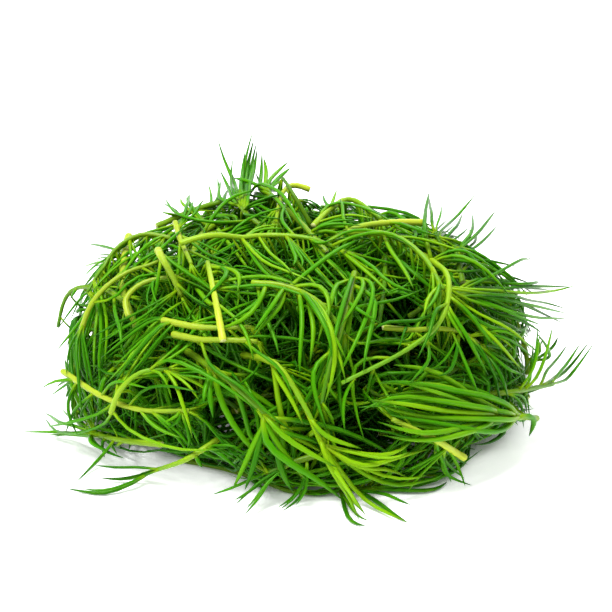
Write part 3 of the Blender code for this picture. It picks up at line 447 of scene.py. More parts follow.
SEEN_LEFT = (
    ((-40, 48, 2), (-48, 44, 3), (-55, 38, 4), (-60, 31, 4)),
    ((-39, 46, 2), (-46, 41, 3), (-52, 34, 4)),
    ((-42, 50, 2), (-50, 46, 3), (-57, 40, 3), (-62, 33, 3)),
    ((-38, 49, 2), (-44, 46, 4), (-50, 40, 4), (-54, 32, 4)),
    ((-62, -6, 3), (-69, -6, 3), (-76, -3.5, 3)),
    ((-60, -7, 2), (-67, -9, 2), (-72, -8, 2), (-76, -5, 2)),
    ((-58, -6, 2), (-60, -11, 2), (-57, -16, 1)),
    ((-54, 39, 2), (-60, 41, 3), (-65, 40, 3)),
    ((-52, 44, 3), (-59, 39, 3), (-64, 33, 3)),
    ((-44, 48, 2), (-50, 44, 3), (-57, 36, 3), (-62, 29, 3)),
    ((-54, 34, 3), (-63, 32, 3), (-68, 27, 3), (-72, 21, 3)),
    ((-60, 30, 2), (-66, 22, 3), (-72, 15, 3)),
    ((-34, 28, 4), (-42, 22, 5), (-49, 13, 5), (-57, 5, 4)),
    ((-36, 29, 4), (-44, 24, 5), (-52, 18, 5), (-58, 13, 4)),
    ((-35, 27, 4), (-43, 19, 5), (-50, 11, 5), (-55, 3, 4)),
    ((-38, 31, 3), (-46, 27, 4), (-54, 23, 4), (-61, 19, 3)),
    ((-42, 38, 3), (-43, 33, 4), (-43, 29, 4), (-41, 28, 4)),
    ((-56, 28, 2), (-52, 22, 4), (-52, 15, 4)),
    ((-65, 22, 2), (-68, 15, 3), (-68, 8, 3)),
    ((-63, 22, 3), (-65, 13, 4), (-64, 5, 4), (-63, -3, 3)),
    ((-66, 6, 3), (-67, 0, 3), (-65, -6, 3), (-63, -9, 2)),
    ((-47, 40, 3), (-40, 45, 4), (-34, 50, 4)),
    ((-52, 36, 3), (-46, 41, 4), (-38, 45, 4)),
    ((-44, 15, 5), (-34, 12, 6), (-26, 8, 6), (-18, 3, 6), (-12, -2, 6)),
    ((-30, 14, 4), (-24, 9, 6), (-16, 5, 6), (-10, -2, 6), (-2, -8, 5)),
    ((-43, 13, 4), (-40, 10, 5), (-37, 5, 5), (-37, 1, 4)),
    ((-36, 11, 4), (-35, 3, 5), (-32, -5, 4), (-31, -10, 3)),
    ((-34, 10, 4), (-31, 4, 5), (-29, 1, 4)),
    ((-29, 9, 4), (-26, 3, 5), (-25, -4, 4)),
    ((-46, -2, 3), (-42, -7, 3), (-34, -10, 3)),
    ((-25, -4, 3), (-29, -5, 4), (-33, -7, 4), (-38, -7, 3)),
    ((-29, -6, 3), (-31, -12, 3), (-33, -15, 2)),
    ((-55, -3, 4), (-50, -8, 4), (-43, -11, 3), (-34, -13, 2), (-22, -13, 2)),
    ((-54, -2, 3), (-63, -5, 3), (-72, -7, 3)),
    ((-52, -5, 2), (-61, -8, 2), (-71, -10, 2)),
    ((-64, -8, 2), (-58, -13, 1), (-51, -16, 1)),
    ((-50, 1, 3), (-44, 5, 4), (-36, 5, 4), (-28, 3, 4)),
    ((-56, 9, 3), (-50, 6, 4), (-42, 4, 4)),
    ((-28, -8, 3), (-23, -14, 3), (-18, -19, 2)),
)

SEEN_MIDDLE = (
    ((-24, 34, 4), (-16, 37, 5), (-8, 36, 5), (-1, 33, 5)),
    ((-22, 32, 4), (-14, 34, 5), (-5, 33, 5), (4, 29, 5)),
    ((-10, 34, 5), (-11, 29, 6), (-16, 24, 6), (-25, 21, 5)),
    ((-5, 33, 5), (-6, 30, 6), (-9, 25, 6), (-13, 19, 5)),
    ((-1, 32, 5), (1, 25, 6), (0, 16, 5), (0, 8, 4)),
    ((0, 32, 5), (6, 24, 6), (11, 15, 5), (13, 6, 4)),
    ((2, 31, 5), (8, 22, 6), (13, 12, 5)),
    ((4, 30, 5), (9, 20, 5), (10, 10, 4), (7, 0, 4)),
    ((9, 38, 4), (10, 31, 5), (7, 24, 5), (5, 17, 4)),
    ((-15, 43, 4), (-9, 40, 5), (-2, 38, 5), (4, 35, 5)),
    ((-6, 44, 4), (-1, 44, 5), (0, 41, 5), (-2, 40, 5)),
    ((-12, 45, 3), (-6, 41, 4), (-2, 36, 4)),
    ((-20, 42, 4), (-20, 36, 5), (-24, 31, 5), (-28, 27, 4)),
    ((-17, 42, 4), (-16, 36, 5), (-18, 31, 4)),
    ((1, 38, 4), (6, 41, 5), (11, 45, 5), (18, 48, 5)),
    ((0, 40, 3), (5, 44, 4), (10, 47, 4)),
    ((16, 42, 4), (15, 36, 5), (12, 27, 6), (10, 19, 5), (7, 8, 4)),
    ((18, 41, 4), (20, 37, 5), (18, 32, 6), (15, 26, 6), (11, 20, 5)),
    ((19, 40, 4), (22, 36, 5), (21, 29, 6), (18, 22, 6), (14, 13, 5), (9, 5, 4)),
    ((22, 34, 4), (22, 27, 5), (19, 16, 5), (18, 9, 4)),
    ((17, 43, 4), (21, 41, 5), (24, 36, 5), (30, 33, 5), (34, 32, 4)),
    ((10, 31, 5), (13, 28, 7), (18, 26, 7), (23, 23, 6)),
    ((0, 36, 4), (5, 34, 5), (9, 30, 5), (8, 22, 4)),
    ((0, 33, 5), (4, 26, 6), (8, 20, 6), (9, 12, 5)),
    ((-14, 29, 3), (-8, 22, 4), (-6, 14, 4)),
    ((-20, 27, 3), (-15, 20, 4), (-13, 12, 4)),
    ((-16, 14, 4), (-9, 13, 5), (-4, 8, 5), (-2, 2, 5)),
    ((-10, 10, 4), (-5, 6, 5), (-2, 1, 5), (1, -6, 5)),
    ((3, -4, 5), (6, -9, 5), (12, -11, 5), (18, -13, 4)),
    ((5, 16, 3), (3, 8, 4), (5, 0, 4), (8, -8, 3)),
    ((14, 8, 3), (12, 0, 4), (13, -8, 3)),
    ((36, 34, 4), (37, 30, 5), (36, 25, 5)),
    ((41, 36, 4), (40, 31, 5), (36, 26, 5)),
    ((43, 26, 4), (44, 23, 5), (48, 20, 5), (48, 18, 4)),
    ((24, 47, 3), (30, 40, 4), (33, 33, 4)),
    ((12, 44, 3), (20, 38, 3), (27, 31, 3)),
)

SEEN_RIGHT = (
    ((60, -4, 4), (45, -7, 6), (33, -8, 6), (22, -5, 4)),
    ((57, -5, 4), (43, -9, 6), (31, -10, 5), (24, -9, 4)),
    ((31, 29, 4), (31, 22, 6), (28, 15, 5)),
    ((37, 30, 4), (38, 22, 6), (34, 13, 5)),
    ((44, 33, 4), (56, 33, 5), (67, 32, 5), (78, 33, 4), (82, 34, 4)),
    ((44, 31, 4), (53, 29, 5), (61, 27, 5), (69, 25, 4), (79, 24, 3)),
    ((45, 35, 3), (56, 36, 4), (66, 34, 4), (75, 33, 4)),
    ((45, 32, 4), (56, 30, 5), (66, 30, 4), (75, 29, 4), (80, 27, 4)),
    ((44, 29, 4), (52, 24, 5), (58, 21, 4), (65, 21, 4)),
    ((45, 37, 3), (54, 39, 4), (62, 37, 4), (68, 34, 4)),
    ((43, 30, 4), (49, 25, 5), (54, 19, 4), (60, 15, 3)),
    ((42, 28, 4), (47, 21, 5), (51, 14, 4), (55, 8, 3)),
    ((58, 34, 3), (65, 33, 4), (69, 34, 4), (71, 36, 4)),
    ((50, 27, 3), (58, 26, 4), (66, 24, 4), (72, 20, 3)),
    ((52, 22, 3), (60, 20, 4), (66, 18, 3), (71, 14, 2)),
    ((57, 14, 3), (59, 8, 4), (61, 1, 3)),
    ((46, 30, 2), (54, 27, 3), (62, 24, 3), (70, 22, 3)),
    ((46, 28, 2), (54, 24, 3), (62, 19, 3), (68, 15, 2)),
    ((45, 27, 1), (52, 21, 3), (59, 14, 3), (66, 9, 2)),
    ((47, 33, 2), (58, 31, 3), (68, 28, 3)),
    ((44, 26, 1), (50, 18, 3), (56, 10, 3), (60, 4, 2)),
    ((55, 16, 3), (60, 10, 3), (66, 8, 2)),
    ((51, 20, 2), (54, 12, 3), (58, 5, 2)),
    ((46, 14, 3), (50, 8, 4), (52, 2, 4)),
    ((77, 8, 2), (79, 13, 3), (79, 18, 4), (77, 19, 4)),
    ((77, 9, 2), (75, 14, 3), (70, 20, 4)),
    ((74, 6, 2), (80, 6, 2), (84, 12, 3), (87, 17, 4)),
    ((64, -2, 3), (54, 2, 4), (43, 4, 5), (32, 6, 5), (23, 6, 4)),
    ((63, -3, 3), (51, -1, 4), (40, 3, 5), (30, 5, 5)),
    ((64, -5, 3), (51, -4, 4), (38, -4, 5), (27, -2, 5), (20, 1, 4)),
    ((58, -2, 3), (45, 0, 5), (34, 2, 5), (25, 2, 5), (17, -2, 4)),
    ((56, -3, 3), (42, -2, 5), (30, 0, 5), (19, 1, 4)),
    ((63, -6, 3), (56, -8, 4), (48, -7, 4), (37, -5, 4), (25, -3, 4)),
    ((64, -3, 3), (69, -3, 3), (69, -7, 2), (67, -10, 1)),
    ((39, -11, 3), (32, -10, 4), (26, -8, 4), (18, -7, 4)),
    ((43, 8, 3), (37, 12, 4), (33, 9, 4), (30, 5, 4)),
    ((48, 12, 3), (44, 6, 4), (40, 8, 4)),
    ((40, -15, 3), (36, -18, 3), (33, -22, 3), (31, -26, 2)),
    ((38, -13, 3), (44, -19, 2), (48, -22, 1)),
    ((34, -18, 2), (43, -22, 1), (50, -24, 1)),
    ((10, -17, 4), (18, -18, 4), (27, -19, 3), (32, -22, 2)),
    ((11, -18, 4), (21, -17, 4), (30, -15, 3), (38, -13, 3)),
    ((18, -17, 3), (25, -15, 4), (30, -13, 4), (32, -11, 4)),
    ((15, -20, 3), (22, -22, 3), (30, -23, 2), (36, -21, 2)),
    ((18, -24, 2), (23, -29, 1), (27, -32, 1), (31, -34, 1)),
    ((13, -26, 2), (13, -32, 1), (16, -35, 1), (19, -35, 1)),
    ((32, -22, 2), (35, -25, 1), (40, -25, 1), (43, -23, 1)),
    ((3, -18, 3), (3, -24, 2), (0, -28, 1), (-5, -31, 1)),
    ((-13, -5, 4), (-11, -10, 4), (-7, -14, 4), (-2, -17, 4), (6, -22, 3), (12, -27, 2)),
    ((-13, -8, 4), (-14, -13, 3), (-16, -18, 2), (-19, -24, 2)),
    ((-8, -13, 3), (-6, -18, 2), (-2, -25, 1)),
    ((-10, -3, 4), (-5, -9, 5), (2, -13, 5), (10, -17, 4)),
    ((4, -11, 4), (9, -18, 4), (13, -25, 3), (18, -31, 2)),
)


class Heap:
    """All the sprigs, laid one after another."""

    def __init__(self) -> None:
        """Start with an empty mound and the construction's habits of growth."""
        self.margin = SAFE_GAP
        self.curl = CURL
        self.easing = EASING
        self.pull = PULL
        self.most_lift = MOST_LIFT
        self.mound = Mound()
        self.room = Room()
        self.sprigs: list[Sprig] = []

    def lay(self, sprig: Sprig) -> None:
        """Add a finished sprig and take its space."""
        self.room.lay(sprig.stem, sprig.radius)
        for leaf in sprig.leaves:
            self.room.lay(leaf.path, leaf.radius)
        self.sprigs.append(sprig)

    def rested(self, path: Path, radius: float) -> Path:
        """Return a placed path, raised just enough to pass over the strands beneath it.

        Args:
            path: The path as it is placed.
            radius: Half the strand's thickness.

        Returns:
            The raised path.
        """
        outs = [self.mound.outward(p) for p in path.points]
        lifts = []
        for spot, out in zip(path.points, outs):
            lift = 0.0
            while self.room.at(spot + out * lift) < radius + self.margin and lift < self.most_lift:
                lift += LIFT_STEP
            lifts.append(lift)
        raised = []
        for i, (spot, out) in enumerate(zip(path.points, outs)):
            lift = max(up - HUMP_FALL * (i - j) ** 2 for j, up in enumerate(lifts))
            point = spot + out * max(lift, 0)
            point.z = max(point.z, radius)
            raised.append(point)
        return Path(raised)

    def guided(self, spot: Vector, heading: Vector, limit: float, droop: float) -> Vector:
        """Return the way a strand wants to go: on, but back to the mound when it is outside.

        Args:
            spot: Where its end is now.
            heading: The direction it has.
            limit: The level of the mound at which it turns back.
            droop: How much it bends down at this step.

        Returns:
            The direction.
        """
        level = self.mound.level(spot)
        out = self.mound.outward(spot)
        want = heading.copy()
        want.z -= droop
        if level > limit:
            want -= out * (want.dot(out) * TURN_BACK + (level - limit) * self.pull)
        if spot.z < LOW_LAYER:
            want.z = max(want.z, 0)
        return want.normalized()

    def fits(self, spot: Vector, radius: float, own: list[Vector], own_gap: float) -> bool:
        """Tell whether a strand has room at a point, away from the floor and its own sprig.

        Args:
            spot: The point.
            radius: Half the strand's thickness.
            own: Points of its own sprig.
            own_gap: How far it keeps from them.

        Returns:
            True where it has room.
        """
        if spot.z < radius * LYING_SHARE - FLOOR_SLACK or self.room.at(spot) < radius + self.margin:
            return False
        return all((spot - other).length > own_gap for other in own)

    def grown(self, start: Vector, heading: Vector, length: float, radius: float, limit: float,
              droop: float, dice: random.Random, own: list[Vector]) -> Path:
        """Return the path of a strand that feels its way through the mound.

        Args:
            start: Where it begins.
            heading: The direction it sets out in.
            length: How long it would be with nothing in its way.
            radius: Half its thickness.
            limit: The level of the mound at which it turns back.
            droop: How much it bends down at each step.
            dice: The sprig's random numbers.
            own: Points of its own sprig, which it keeps away from after its first steps.

        Returns:
            The path, shorter than asked where the way is blocked.
        """
        points = [start.copy()]
        curl = self.shaken(dice) * self.curl
        for k in range(round(length / STEP)):
            spot = points[-1]
            want = self.guided(spot, heading + curl, limit, droop)
            side = want.orthogonal().normalized()
            near = own if k > FREE_STEPS else []
            found = None
            for bend in BENDS:
                turn = dice.uniform(0, math.tau)
                for part in range(TURNS if bend else 1):
                    around = Quaternion(want, turn + part * math.tau / TURNS)
                    way = want * math.cos(bend) + (around @ side) * math.sin(bend)
                    if self.fits(spot + way * STEP, radius, near, OWN_GAP_RADII * radius):
                        found = way
                        break
                if found:
                    break
            if not found:
                break
            heading = found
            points.append(spot + found * STEP)
        return Path(points).eased(self.easing)

    @staticmethod
    def shaken(dice: random.Random) -> Vector:
        """Return a random vector in a cube of two metres, to be scaled down."""
        return Vector([dice.uniform(-1, 1) for _ in range(3)])

    def add_leaves(self, sprig: Sprig, count: int, dice: random.Random) -> None:
        """Grow leaves along a stem, turning by the golden angle from each to the next.

        Args:
            sprig: The sprig, perhaps with leaves that are placed one by one.
            count: How many to try.
            dice: The sprig's random numbers.
        """
        taken = [leaf.node for leaf in sprig.leaves]
        own = [p for leaf in sprig.leaves for p in leaf.path.points[FREE_POINTS:]] + sprig.stem.points
        turn = dice.uniform(0, math.tau)
        for k in range(count):
            share = (k + 0.5 + dice.uniform(-NODE_SHAKE, NODE_SHAKE)) / count
            node = sprig.stem.length * (FIRST_NODE + NODE_SHARE * share)
            if any(abs(node - other) < NODE_GAP for other in taken):
                node += NODE_GAP + STEP / 4
            if any(abs(node - other) < NODE_GAP for other in taken):
                continue
            along = sprig.stem.heading(node)
            best = None
            for _ in range(LEAF_TRIES):
                turn += GOLDEN_TURN
                spread = dice.uniform(*LEAF_SPREAD)
                aside = Quaternion(along, turn) @ along.orthogonal().normalized()
                heading = (along * math.cos(spread) + aside * math.sin(spread)).normalized()
                length = LEAF_LENGTH * dice.uniform(*LEAF_LENGTHS)
                radius = LEAF_THICKNESS / 2 * dice.uniform(*LEAF_THICKNESSES)
                start = sprig.stem.at(node) + heading * (sprig.radius * ROOT_SHARE)
                path = self.grown(start, heading, length, radius, LEAF_LIMIT, LEAF_DROOP, dice, own)
                if best is None or path.length > best.path.length:
                    best = Leaf(path, radius, node)
                if path.length > LONG_ENOUGH_LEAF * length:
                    break
            if best.path.length > SHORTEST_LEAF:
                sprig.leaves.append(best)
                taken.append(node)
                own += best.path.points[FREE_POINTS:]

    def place(self, placed: Placed) -> None:
        """Lay a sprig whose stem, and perhaps leaves, are placed one by one."""
        dice = random.Random(placed.name)
        radius = placed.thickness * MM / 2
        stem = smooth_through([self.mound.facing(*spot) for spot in placed.stem])
        sprig = Sprig(placed.name, self.rested(stem, radius), radius)
        nodes = []
        for spots in placed.leaves:
            path = smooth_through([self.mound.facing(*spot) for spot in spots])
            path = self.rested(path, LEAF_THICKNESS / 2)
            node = self.nearest(sprig.stem, path.points[0])
            while any(abs(node - other) < PLACED_NODE_GAP for other in nodes):
                node -= PLACED_NODE_GAP / 2
            nodes.append(node)
            path.points[0] = sprig.stem.at(node)
            sprig.leaves.append(Leaf(Path(path.points).eased(EASING), LEAF_THICKNESS / 2, node))
        self.add_leaves(sprig, placed.grown, dice)
        self.lay(sprig)

    @staticmethod
    def nearest(path: Path, spot: Vector) -> float:
        """Return the way along a path to the point nearest a spot, off its very ends."""
        ways = [path.length * k / NODE_PLACES for k in range(END_PLACES, NODE_PLACES + 1 - END_PLACES)]
        return min(ways, key=lambda way: (path.at(way) - spot).length)

    def grow_sprig(self, name: str, start: Vector, heading: Vector, length: float, limit: float) -> None:
        """Lay a sprig that grows by rule from a place and a direction.

        Args:
            name: The sprig's name.
            start: About where its cut end is. One that starts at z = 0 lies flat.
            heading: About where it sets out to.
            length: How long it would be with nothing in its way.
            limit: The level of the mound at which it turns back.
        """
        dice = random.Random(name)
        radius = STEM_THICKNESS / 2 * dice.uniform(*STEM_THICKNESSES)
        flat = start.z == 0
        best = None
        for _ in range(STEM_TRIES):
            begin = start + self.shaken(dice) * START_SHAKE
            lean = self.shaken(dice) * START_LEAN
            begin.z = radius * LYING_SHARE if flat else max(begin.z, radius + GAP)
            lean.z = 0 if flat else lean.z
            if not self.fits(begin, radius, [], 0):
                continue
            way = (heading + lean).normalized()
            path = self.grown(begin, way, length, radius, limit, STEM_DROOP, dice, [])
            if best is None or path.length > best.length:
                best = path
            if path.length > LONG_ENOUGH_STEM * length:
                break
        if best is None or best.length < SHORTEST_STEM:
            return
        sprig = Sprig(name, best, radius)
        self.add_leaves(sprig, SKELETON_LEAVES, dice)
        self.lay(sprig)

    def grow_base(self, count: int) -> None:
        """Lay the sprigs that the heap rests on, in a ring on the floor."""
        for k in range(count):
            turn = math.tau * (k + 0.5) / count
            start = self.mound.on_shell(turn, 0, BASE_LEVEL)
            out = Vector((math.cos(turn), math.sin(turn), 0))
            along = Vector((-out.y, out.x, 0)) - out * BASE_INWARD
            self.grow_sprig(f"base_sprig_{k + 1:02d}", start, along.normalized(), BASE_LENGTH, BASE_LIMIT)

    def grow_shell(self, count: int) -> None:
        """Lay the sprigs of the back and the sides, which the front view hides."""
        for k in range(count):
            turn = SHELL_FROM + SHELL_SPAN * ((k * GOLDEN_SHARE) % 1)
            climb = SHELL_LOWEST + SHELL_CLIMB * (k + 0.5) / count
            start = self.mound.on_shell(turn, climb, SHELL_LEVEL)
            out = self.mound.outward(start)
            side = Quaternion(out, k * GOLDEN_TURN) @ out.orthogonal().normalized()
            self.grow_sprig(f"back_sprig_{k + 1:02d}", start, side, SHELL_LENGTH, SHELL_LIMIT)

    def grow_core(self, count: int) -> None:
        """Lay the sprigs inside."""
        for k in range(count):
            turn = k * GOLDEN_TURN
            climb = CORE_LOWEST + CORE_CLIMB * ((k * GOLDEN_SHARE) % 1)
            start = self.mound.on_shell(turn, climb, CORE_LEVEL)
            side = Vector((-math.sin(turn), math.cos(turn), CORE_RISE)).normalized()
            self.grow_sprig(f"core_sprig_{k + 1:02d}", start, side, CORE_LENGTH, CORE_LIMIT)


class Kind(Enum):
    """What a sprig's stem looks like."""

    GREEN = "leaf_green"
    YELLOW = "stem_yellow_green"


@dataclass(frozen=True)
class Habit:
    """How one sprig looks.

    `bare` is the leafless share of its stem from the cut end up, and `clear` the share that nothing
    grows across as seen from the front. `width` and `length` scale its leaves, `mood` is how bright
    they are, from 0 to 1, and `dense` is how many there are as a share of the usual. `pale` is how
    bright the stem is, where that isn't the leaves' mood.
    """

    kind: Kind = Kind.GREEN
    bare: float = 0.12
    clear: float = 0.0
    width: float = 1.0
    length: float = 1.0
    mood: float = 0.5
    dense: float = 1.0
    pale: float | None = None

    @property
    def stem_tone(self) -> float:
        """Return how bright the stem is, from 0 to 1."""
        return self.mood if self.pale is None else self.pale


# The looks of the sprigs that are placed one by one
HABITS = {
    "crown_arch_left": Habit(bare=0.35, clear=0.6, width=0.8, mood=0.4),
    "top_tuft": Habit(bare=0.0, width=0.95, length=0.7, mood=0.3),
    "crown_crest": Habit(bare=0.0, length=0.7, mood=0.45),
    "crown_hook": Habit(Kind.YELLOW, bare=0.6, clear=0.7, width=0.7, length=0.6, mood=0.4, pale=0.7),
    "crown_needle": Habit(bare=0.3, width=0.7, length=0.6, mood=0.1),
    "crown_arc": Habit(bare=0.2, clear=0.5, width=0.8, length=0.8, mood=0.6, pale=0.9),
    "crown_stub": Habit(Kind.YELLOW, bare=0.6, clear=0.6, width=0.8, pale=0.95),
    "crown_bow": Habit(clear=1.0, width=0.9, mood=0.75, pale=0.95),
    "crown_needles": Habit(width=0.75, length=0.8, mood=0.2),
    "right_needles": Habit(width=0.8, length=0.8, mood=0.2),
    "left_stub": Habit(Kind.YELLOW, bare=0.6, clear=0.45, width=0.7, length=0.8, mood=0.35, pale=0.5),
    "left_arc": Habit(bare=0.5, width=0.8, length=0.6, mood=0.35, dense=0.25),
    "left_curl": Habit(Kind.YELLOW, bare=0.7, clear=0.8, width=0.7, length=0.8, mood=0.4),
    "left_olive_stem": Habit(Kind.YELLOW, bare=0.6, clear=0.7, width=0.7, length=0.8, mood=0.35, pale=0.35),
    "left_cut_stem": Habit(Kind.YELLOW, bare=0.5, clear=0.35, width=0.75, length=0.8, mood=0.4, pale=0.6),
    "left_upright_stem": Habit(Kind.YELLOW, bare=0.5, clear=0.7, width=0.7, length=0.8, mood=0.45),
    "left_high_fan": Habit(bare=0.0, width=0.75, length=0.9, mood=0.45),
    "left_stack_upper": Habit(Kind.YELLOW, bare=0.7, clear=0.6, width=0.8, mood=0.35, pale=0.45),
    "left_stack_lower": Habit(Kind.YELLOW, bare=0.7, clear=0.6, width=0.8, mood=0.35, pale=0.3),
    "left_low_stem": Habit(Kind.YELLOW, bare=0.45, clear=0.9, width=0.8, length=0.8, mood=0.35, pale=0.5),
    "left_loop": Habit(bare=0.3, clear=1.0, width=0.8, length=0.8, mood=0.65, pale=0.9),
    "left_floor_leafy": Habit(width=0.85, length=0.8, mood=0.35, dense=0.7, pale=0.65),
    "left_floor_long": Habit(bare=0.6, length=0.8, mood=0.4, dense=0.3, pale=0.75),
    "long_arch": Habit(bare=0.3, clear=1.0, width=0.85, mood=0.55, pale=1.0),
    "bright_stub": Habit(Kind.YELLOW, bare=0.8, clear=1.0, pale=1.0),
    "second_arch": Habit(clear=1.0, width=1.05, length=1.3, mood=0.6, pale=0.85),
    "front_bundle": Habit(clear=1.0, width=1.1, length=1.2, mood=0.95),
    "front_wide_leafy": Habit(clear=0.8, width=1.4, length=1.3, mood=0.45),
    "front_left_tuft": Habit(width=0.8, length=0.8, mood=0.3),
    "middle_cords": Habit(clear=0.6, length=1.3, mood=0.4),
    "round_end": Habit(Kind.YELLOW, bare=0.1, clear=0.1, width=0.8, mood=0.3, pale=0.0),
    "right_bow": Habit(bare=0.35, clear=1.0, width=0.9, length=1.1, mood=0.35, pale=0.95),
    "right_fan": Habit(clear=1.0, width=1.4, length=1.1, mood=0.6),
    "right_spray": Habit(width=0.85, length=1.1, mood=0.18),
    "right_floor_sprig": Habit(width=0.75, length=0.8, mood=0.45),
    "right_thick_stem": Habit(Kind.YELLOW, bare=0.3, clear=0.25, width=0.8, mood=0.45, pale=0.8),
}

# Phantom tubes that keep the sight of a strand free: how thick, how far apart and how many
OPEN_RADIUS = 1.1 * MM
OPEN_STEP = 2.2 * MM
OPEN_STEPS = 3

# The edge of the dense part of the heap in the front view: (across, up) in millimetres
OUTLINE = (
    (-40, 53), (-33, 58), (-22, 61), (-10, 64), (0, 61), (9, 58), (15, 60), (24, 56), (36, 53),
    (45, 50), (53, 45), (60, 37), (68, 32), (69, 21), (64, 16), (67, 5), (69, 0), (67, -5), (50, -12),
    (45, -21), (30, -24), (19, -30), (9, -24), (-12, -22), (-18, -18), (-30, -14), (-45, -12),
    (-60, -9), (-64, 0), (-67, 9), (-68, 24), (-63, 36), (-57, 41), (-51, 48),
)

# Dark hollows between the front strands: (across, up, half width, half height) in millimetres
HOLLOWS = (
    (-4.5, 19, 6, 6.5), (28, 25.5, 7, 6.5), (27, 13, 13, 4.5), (14, 6.5, 6, 4.5), (18.5, -8.5, 9, 7.5),
    (-9, 5, 5, 5.5), (-20, -3, 7, 5), (-34.5, 4, 5, 4), (49, 18, 5, 6.5), (3, 14.5, 4, 4.5),
    (-45, 4.5, 3.5, 2.5), (-27, 13, 4, 3),
)
# The level that leaves keep below in a hollow, and how far towards the viewer hollows begin
HOLLOW_LEVEL = 0.74
HOLLOW_FRONT = 25 * MM

# The grid of the front view in millimetres: how far it reaches left and down, and its whole size
VIEW_LEFT = 110
VIEW_DOWN = 60
VIEW_WIDE = 220
VIEW_HIGH = 160


class Outline:
    """How far inside the outline each place of the front view is, on a grid of millimetres."""

    def __init__(self) -> None:
        """Measure the distance to every side of the outline, below zero outside."""
        columns = np.arange(VIEW_WIDE) + 0.5 - VIEW_LEFT
        rows = np.arange(VIEW_HIGH) + 0.5 - VIEW_DOWN
        across, up = np.meshgrid(columns, rows, indexing="ij")
        spots = np.stack((across, up), axis=-1)
        nearest = np.full(across.shape, np.inf)
        inside = np.zeros(across.shape, dtype=bool)
        for a, b in zip(OUTLINE, OUTLINE[1:] + OUTLINE[:1]):
            a, b = np.array(a, float), np.array(b, float)
            run = b - a
            share = np.clip(((spots - a) @ run) / (run @ run), 0, 1)
            nearest = np.minimum(nearest, np.linalg.norm(spots - a - share[..., None] * run, axis=-1))
            if a[1] != b[1]:
                crossing = a[0] + (up - a[1]) * run[0] / run[1]
                inside ^= ((a[1] > up) != (b[1] > up)) & (across < crossing)
        self.depths = np.where(inside, nearest, -nearest) * MM
        self.hollows = np.zeros(across.shape, dtype=bool)
        for right, high, half_width, half_height in HOLLOWS:
            self.hollows |= ((across - right) / half_width) ** 2 + ((up - high) / half_height) ** 2 < 1

    def depth(self, spot: Vector) -> float:
        """Return how far inside the outline a point is seen from the front."""
        cell = self.cell(spot)
        return float(self.depths[cell]) if cell else -GRID_HALF

    def hollow(self, spot: Vector) -> bool:
        """Tell whether a point lies before the ground of a hollow."""
        toward = spot.z * math.sin(SIGHT_ANGLE) - spot.y * math.cos(SIGHT_ANGLE)
        cell = self.cell(spot)
        return bool(cell and toward > HOLLOW_FRONT and self.hollows[cell])

    @staticmethod
    def cell(spot: Vector) -> tuple[int, int] | None:
        """Return the grid's cell in which a point is seen from the front."""
        up = spot.y * math.sin(SIGHT_ANGLE) + spot.z * math.cos(SIGHT_ANGLE)
        cell = (int(spot.x / MM + VIEW_LEFT), int(up / MM + VIEW_DOWN))
        return cell if 0 <= cell[0] < VIEW_WIDE and 0 <= cell[1] < VIEW_HIGH else None


@dataclass(frozen=True)
class Coat:
    """How a sprig is clad with leaves.

    `spacing` is the way from leaf to leaf along the stem. `gap` is how near strands come to each
    other, below zero for pressed together. `companions` run beside each of the first leaves, about
    `companion_away` from them, `tuft` leaves grow at the tip, and `wisps` are hair-thin. `shortest`
    is the least length that is kept. `limits` are the levels of the mound at which leaves turn
    back, and `widths` scale their thickness.
    """

    spacing: float = 2.4 * MM
    gap: float = -0.12 * MM
    length: float = 44 * MM
    thickness: float = 1.2 * MM
    companions: int = 2
    companion_away: float = 1.8 * MM
    tuft: int = 6
    wisps: int = 3
    shortest: float = 8 * MM
    limits: tuple[float, ...] = (0.88, 0.9, 0.92, 0.94, 0.96, 0.99)
    widths: tuple[float, ...] = (0.5, 0.7, 0.85, 1.0, 1.1, 1.3)


# A leaf is eased, in so many rounds at most, until no turn from step to step is sharper than this
SHARP = 0.3
CALM_ROUNDS = 12

# How far a leaf of the construction may stand out of the outline, and how many points it keeps
STRAY = 2.5 * MM
TRIMMED_POINTS = 3

# How the leaves of the coat feel their way, and how far they are raised over others
COAT_CURL = 0.12
COAT_EASING = 5
COAT_PULL = 10
COAT_LIFT = 4 * MM

# The leaves that show best: their widths, their easing, and the share that is kept in free sight
SEEN_WIDTHS = (1.0, 1.35)
SEEN_EASING = 8
SEEN_FREE = 0.5

# The habit of a sprig that has none of its own
HABIT_WIDTHS = (0.7, 1.1)
HABIT_LENGTHS = (0.8, 1.15)
HABIT_MOODS = (0.1, 0.65)

# The leaves along a stem: their angle to it and their size at its foot, and what both lose upwards
FOOT_SPREAD = 0.6
SPREAD_LOSS = 0.3
FOOT_SIZE = 1.05
SIZE_LOSS = 0.2
SPACINGS = (0.6, 1.4)
TUFT_PLACE = 0.98
TUFT_SPREAD = 0.28
TUFT_SIZE = 0.85

# A leaf of the coat: its sizes, its even bend, and the ways out of the outline that it may take
COAT_LENGTHS = (0.7, 1.35)
COAT_BEND = 0.06
COAT_TRIES = 9
COAT_DROOP = 0.02
EDGE = 0.5 * MM
EDGE_CHOICES = (0, 0, 0, 0, 1, 2, 4)
# One that stays shorter than the first share feels its way, and is kept if it gains by the second
TOO_SHORT = 0.45
WORTH_FEELING = 1.3
# Where it leaves its stem: the range of its angle, and its root's depth as a share of the stem
SPREADS = (0.6, 1.4)
COAT_ROOT_SHARE = 0.4

# A companion: its width, how far it runs from its leaf and how much they part, and its length
COMPANION_WIDTHS = (0.8, 1.2)
COMPANION_AWAYS = (0.7, 1.5)
COMPANION_PARTING = (0.2, 1.6)
COMPANION_LENGTHS = (0.7, 1.0)
COMPANION_TRIES = 8
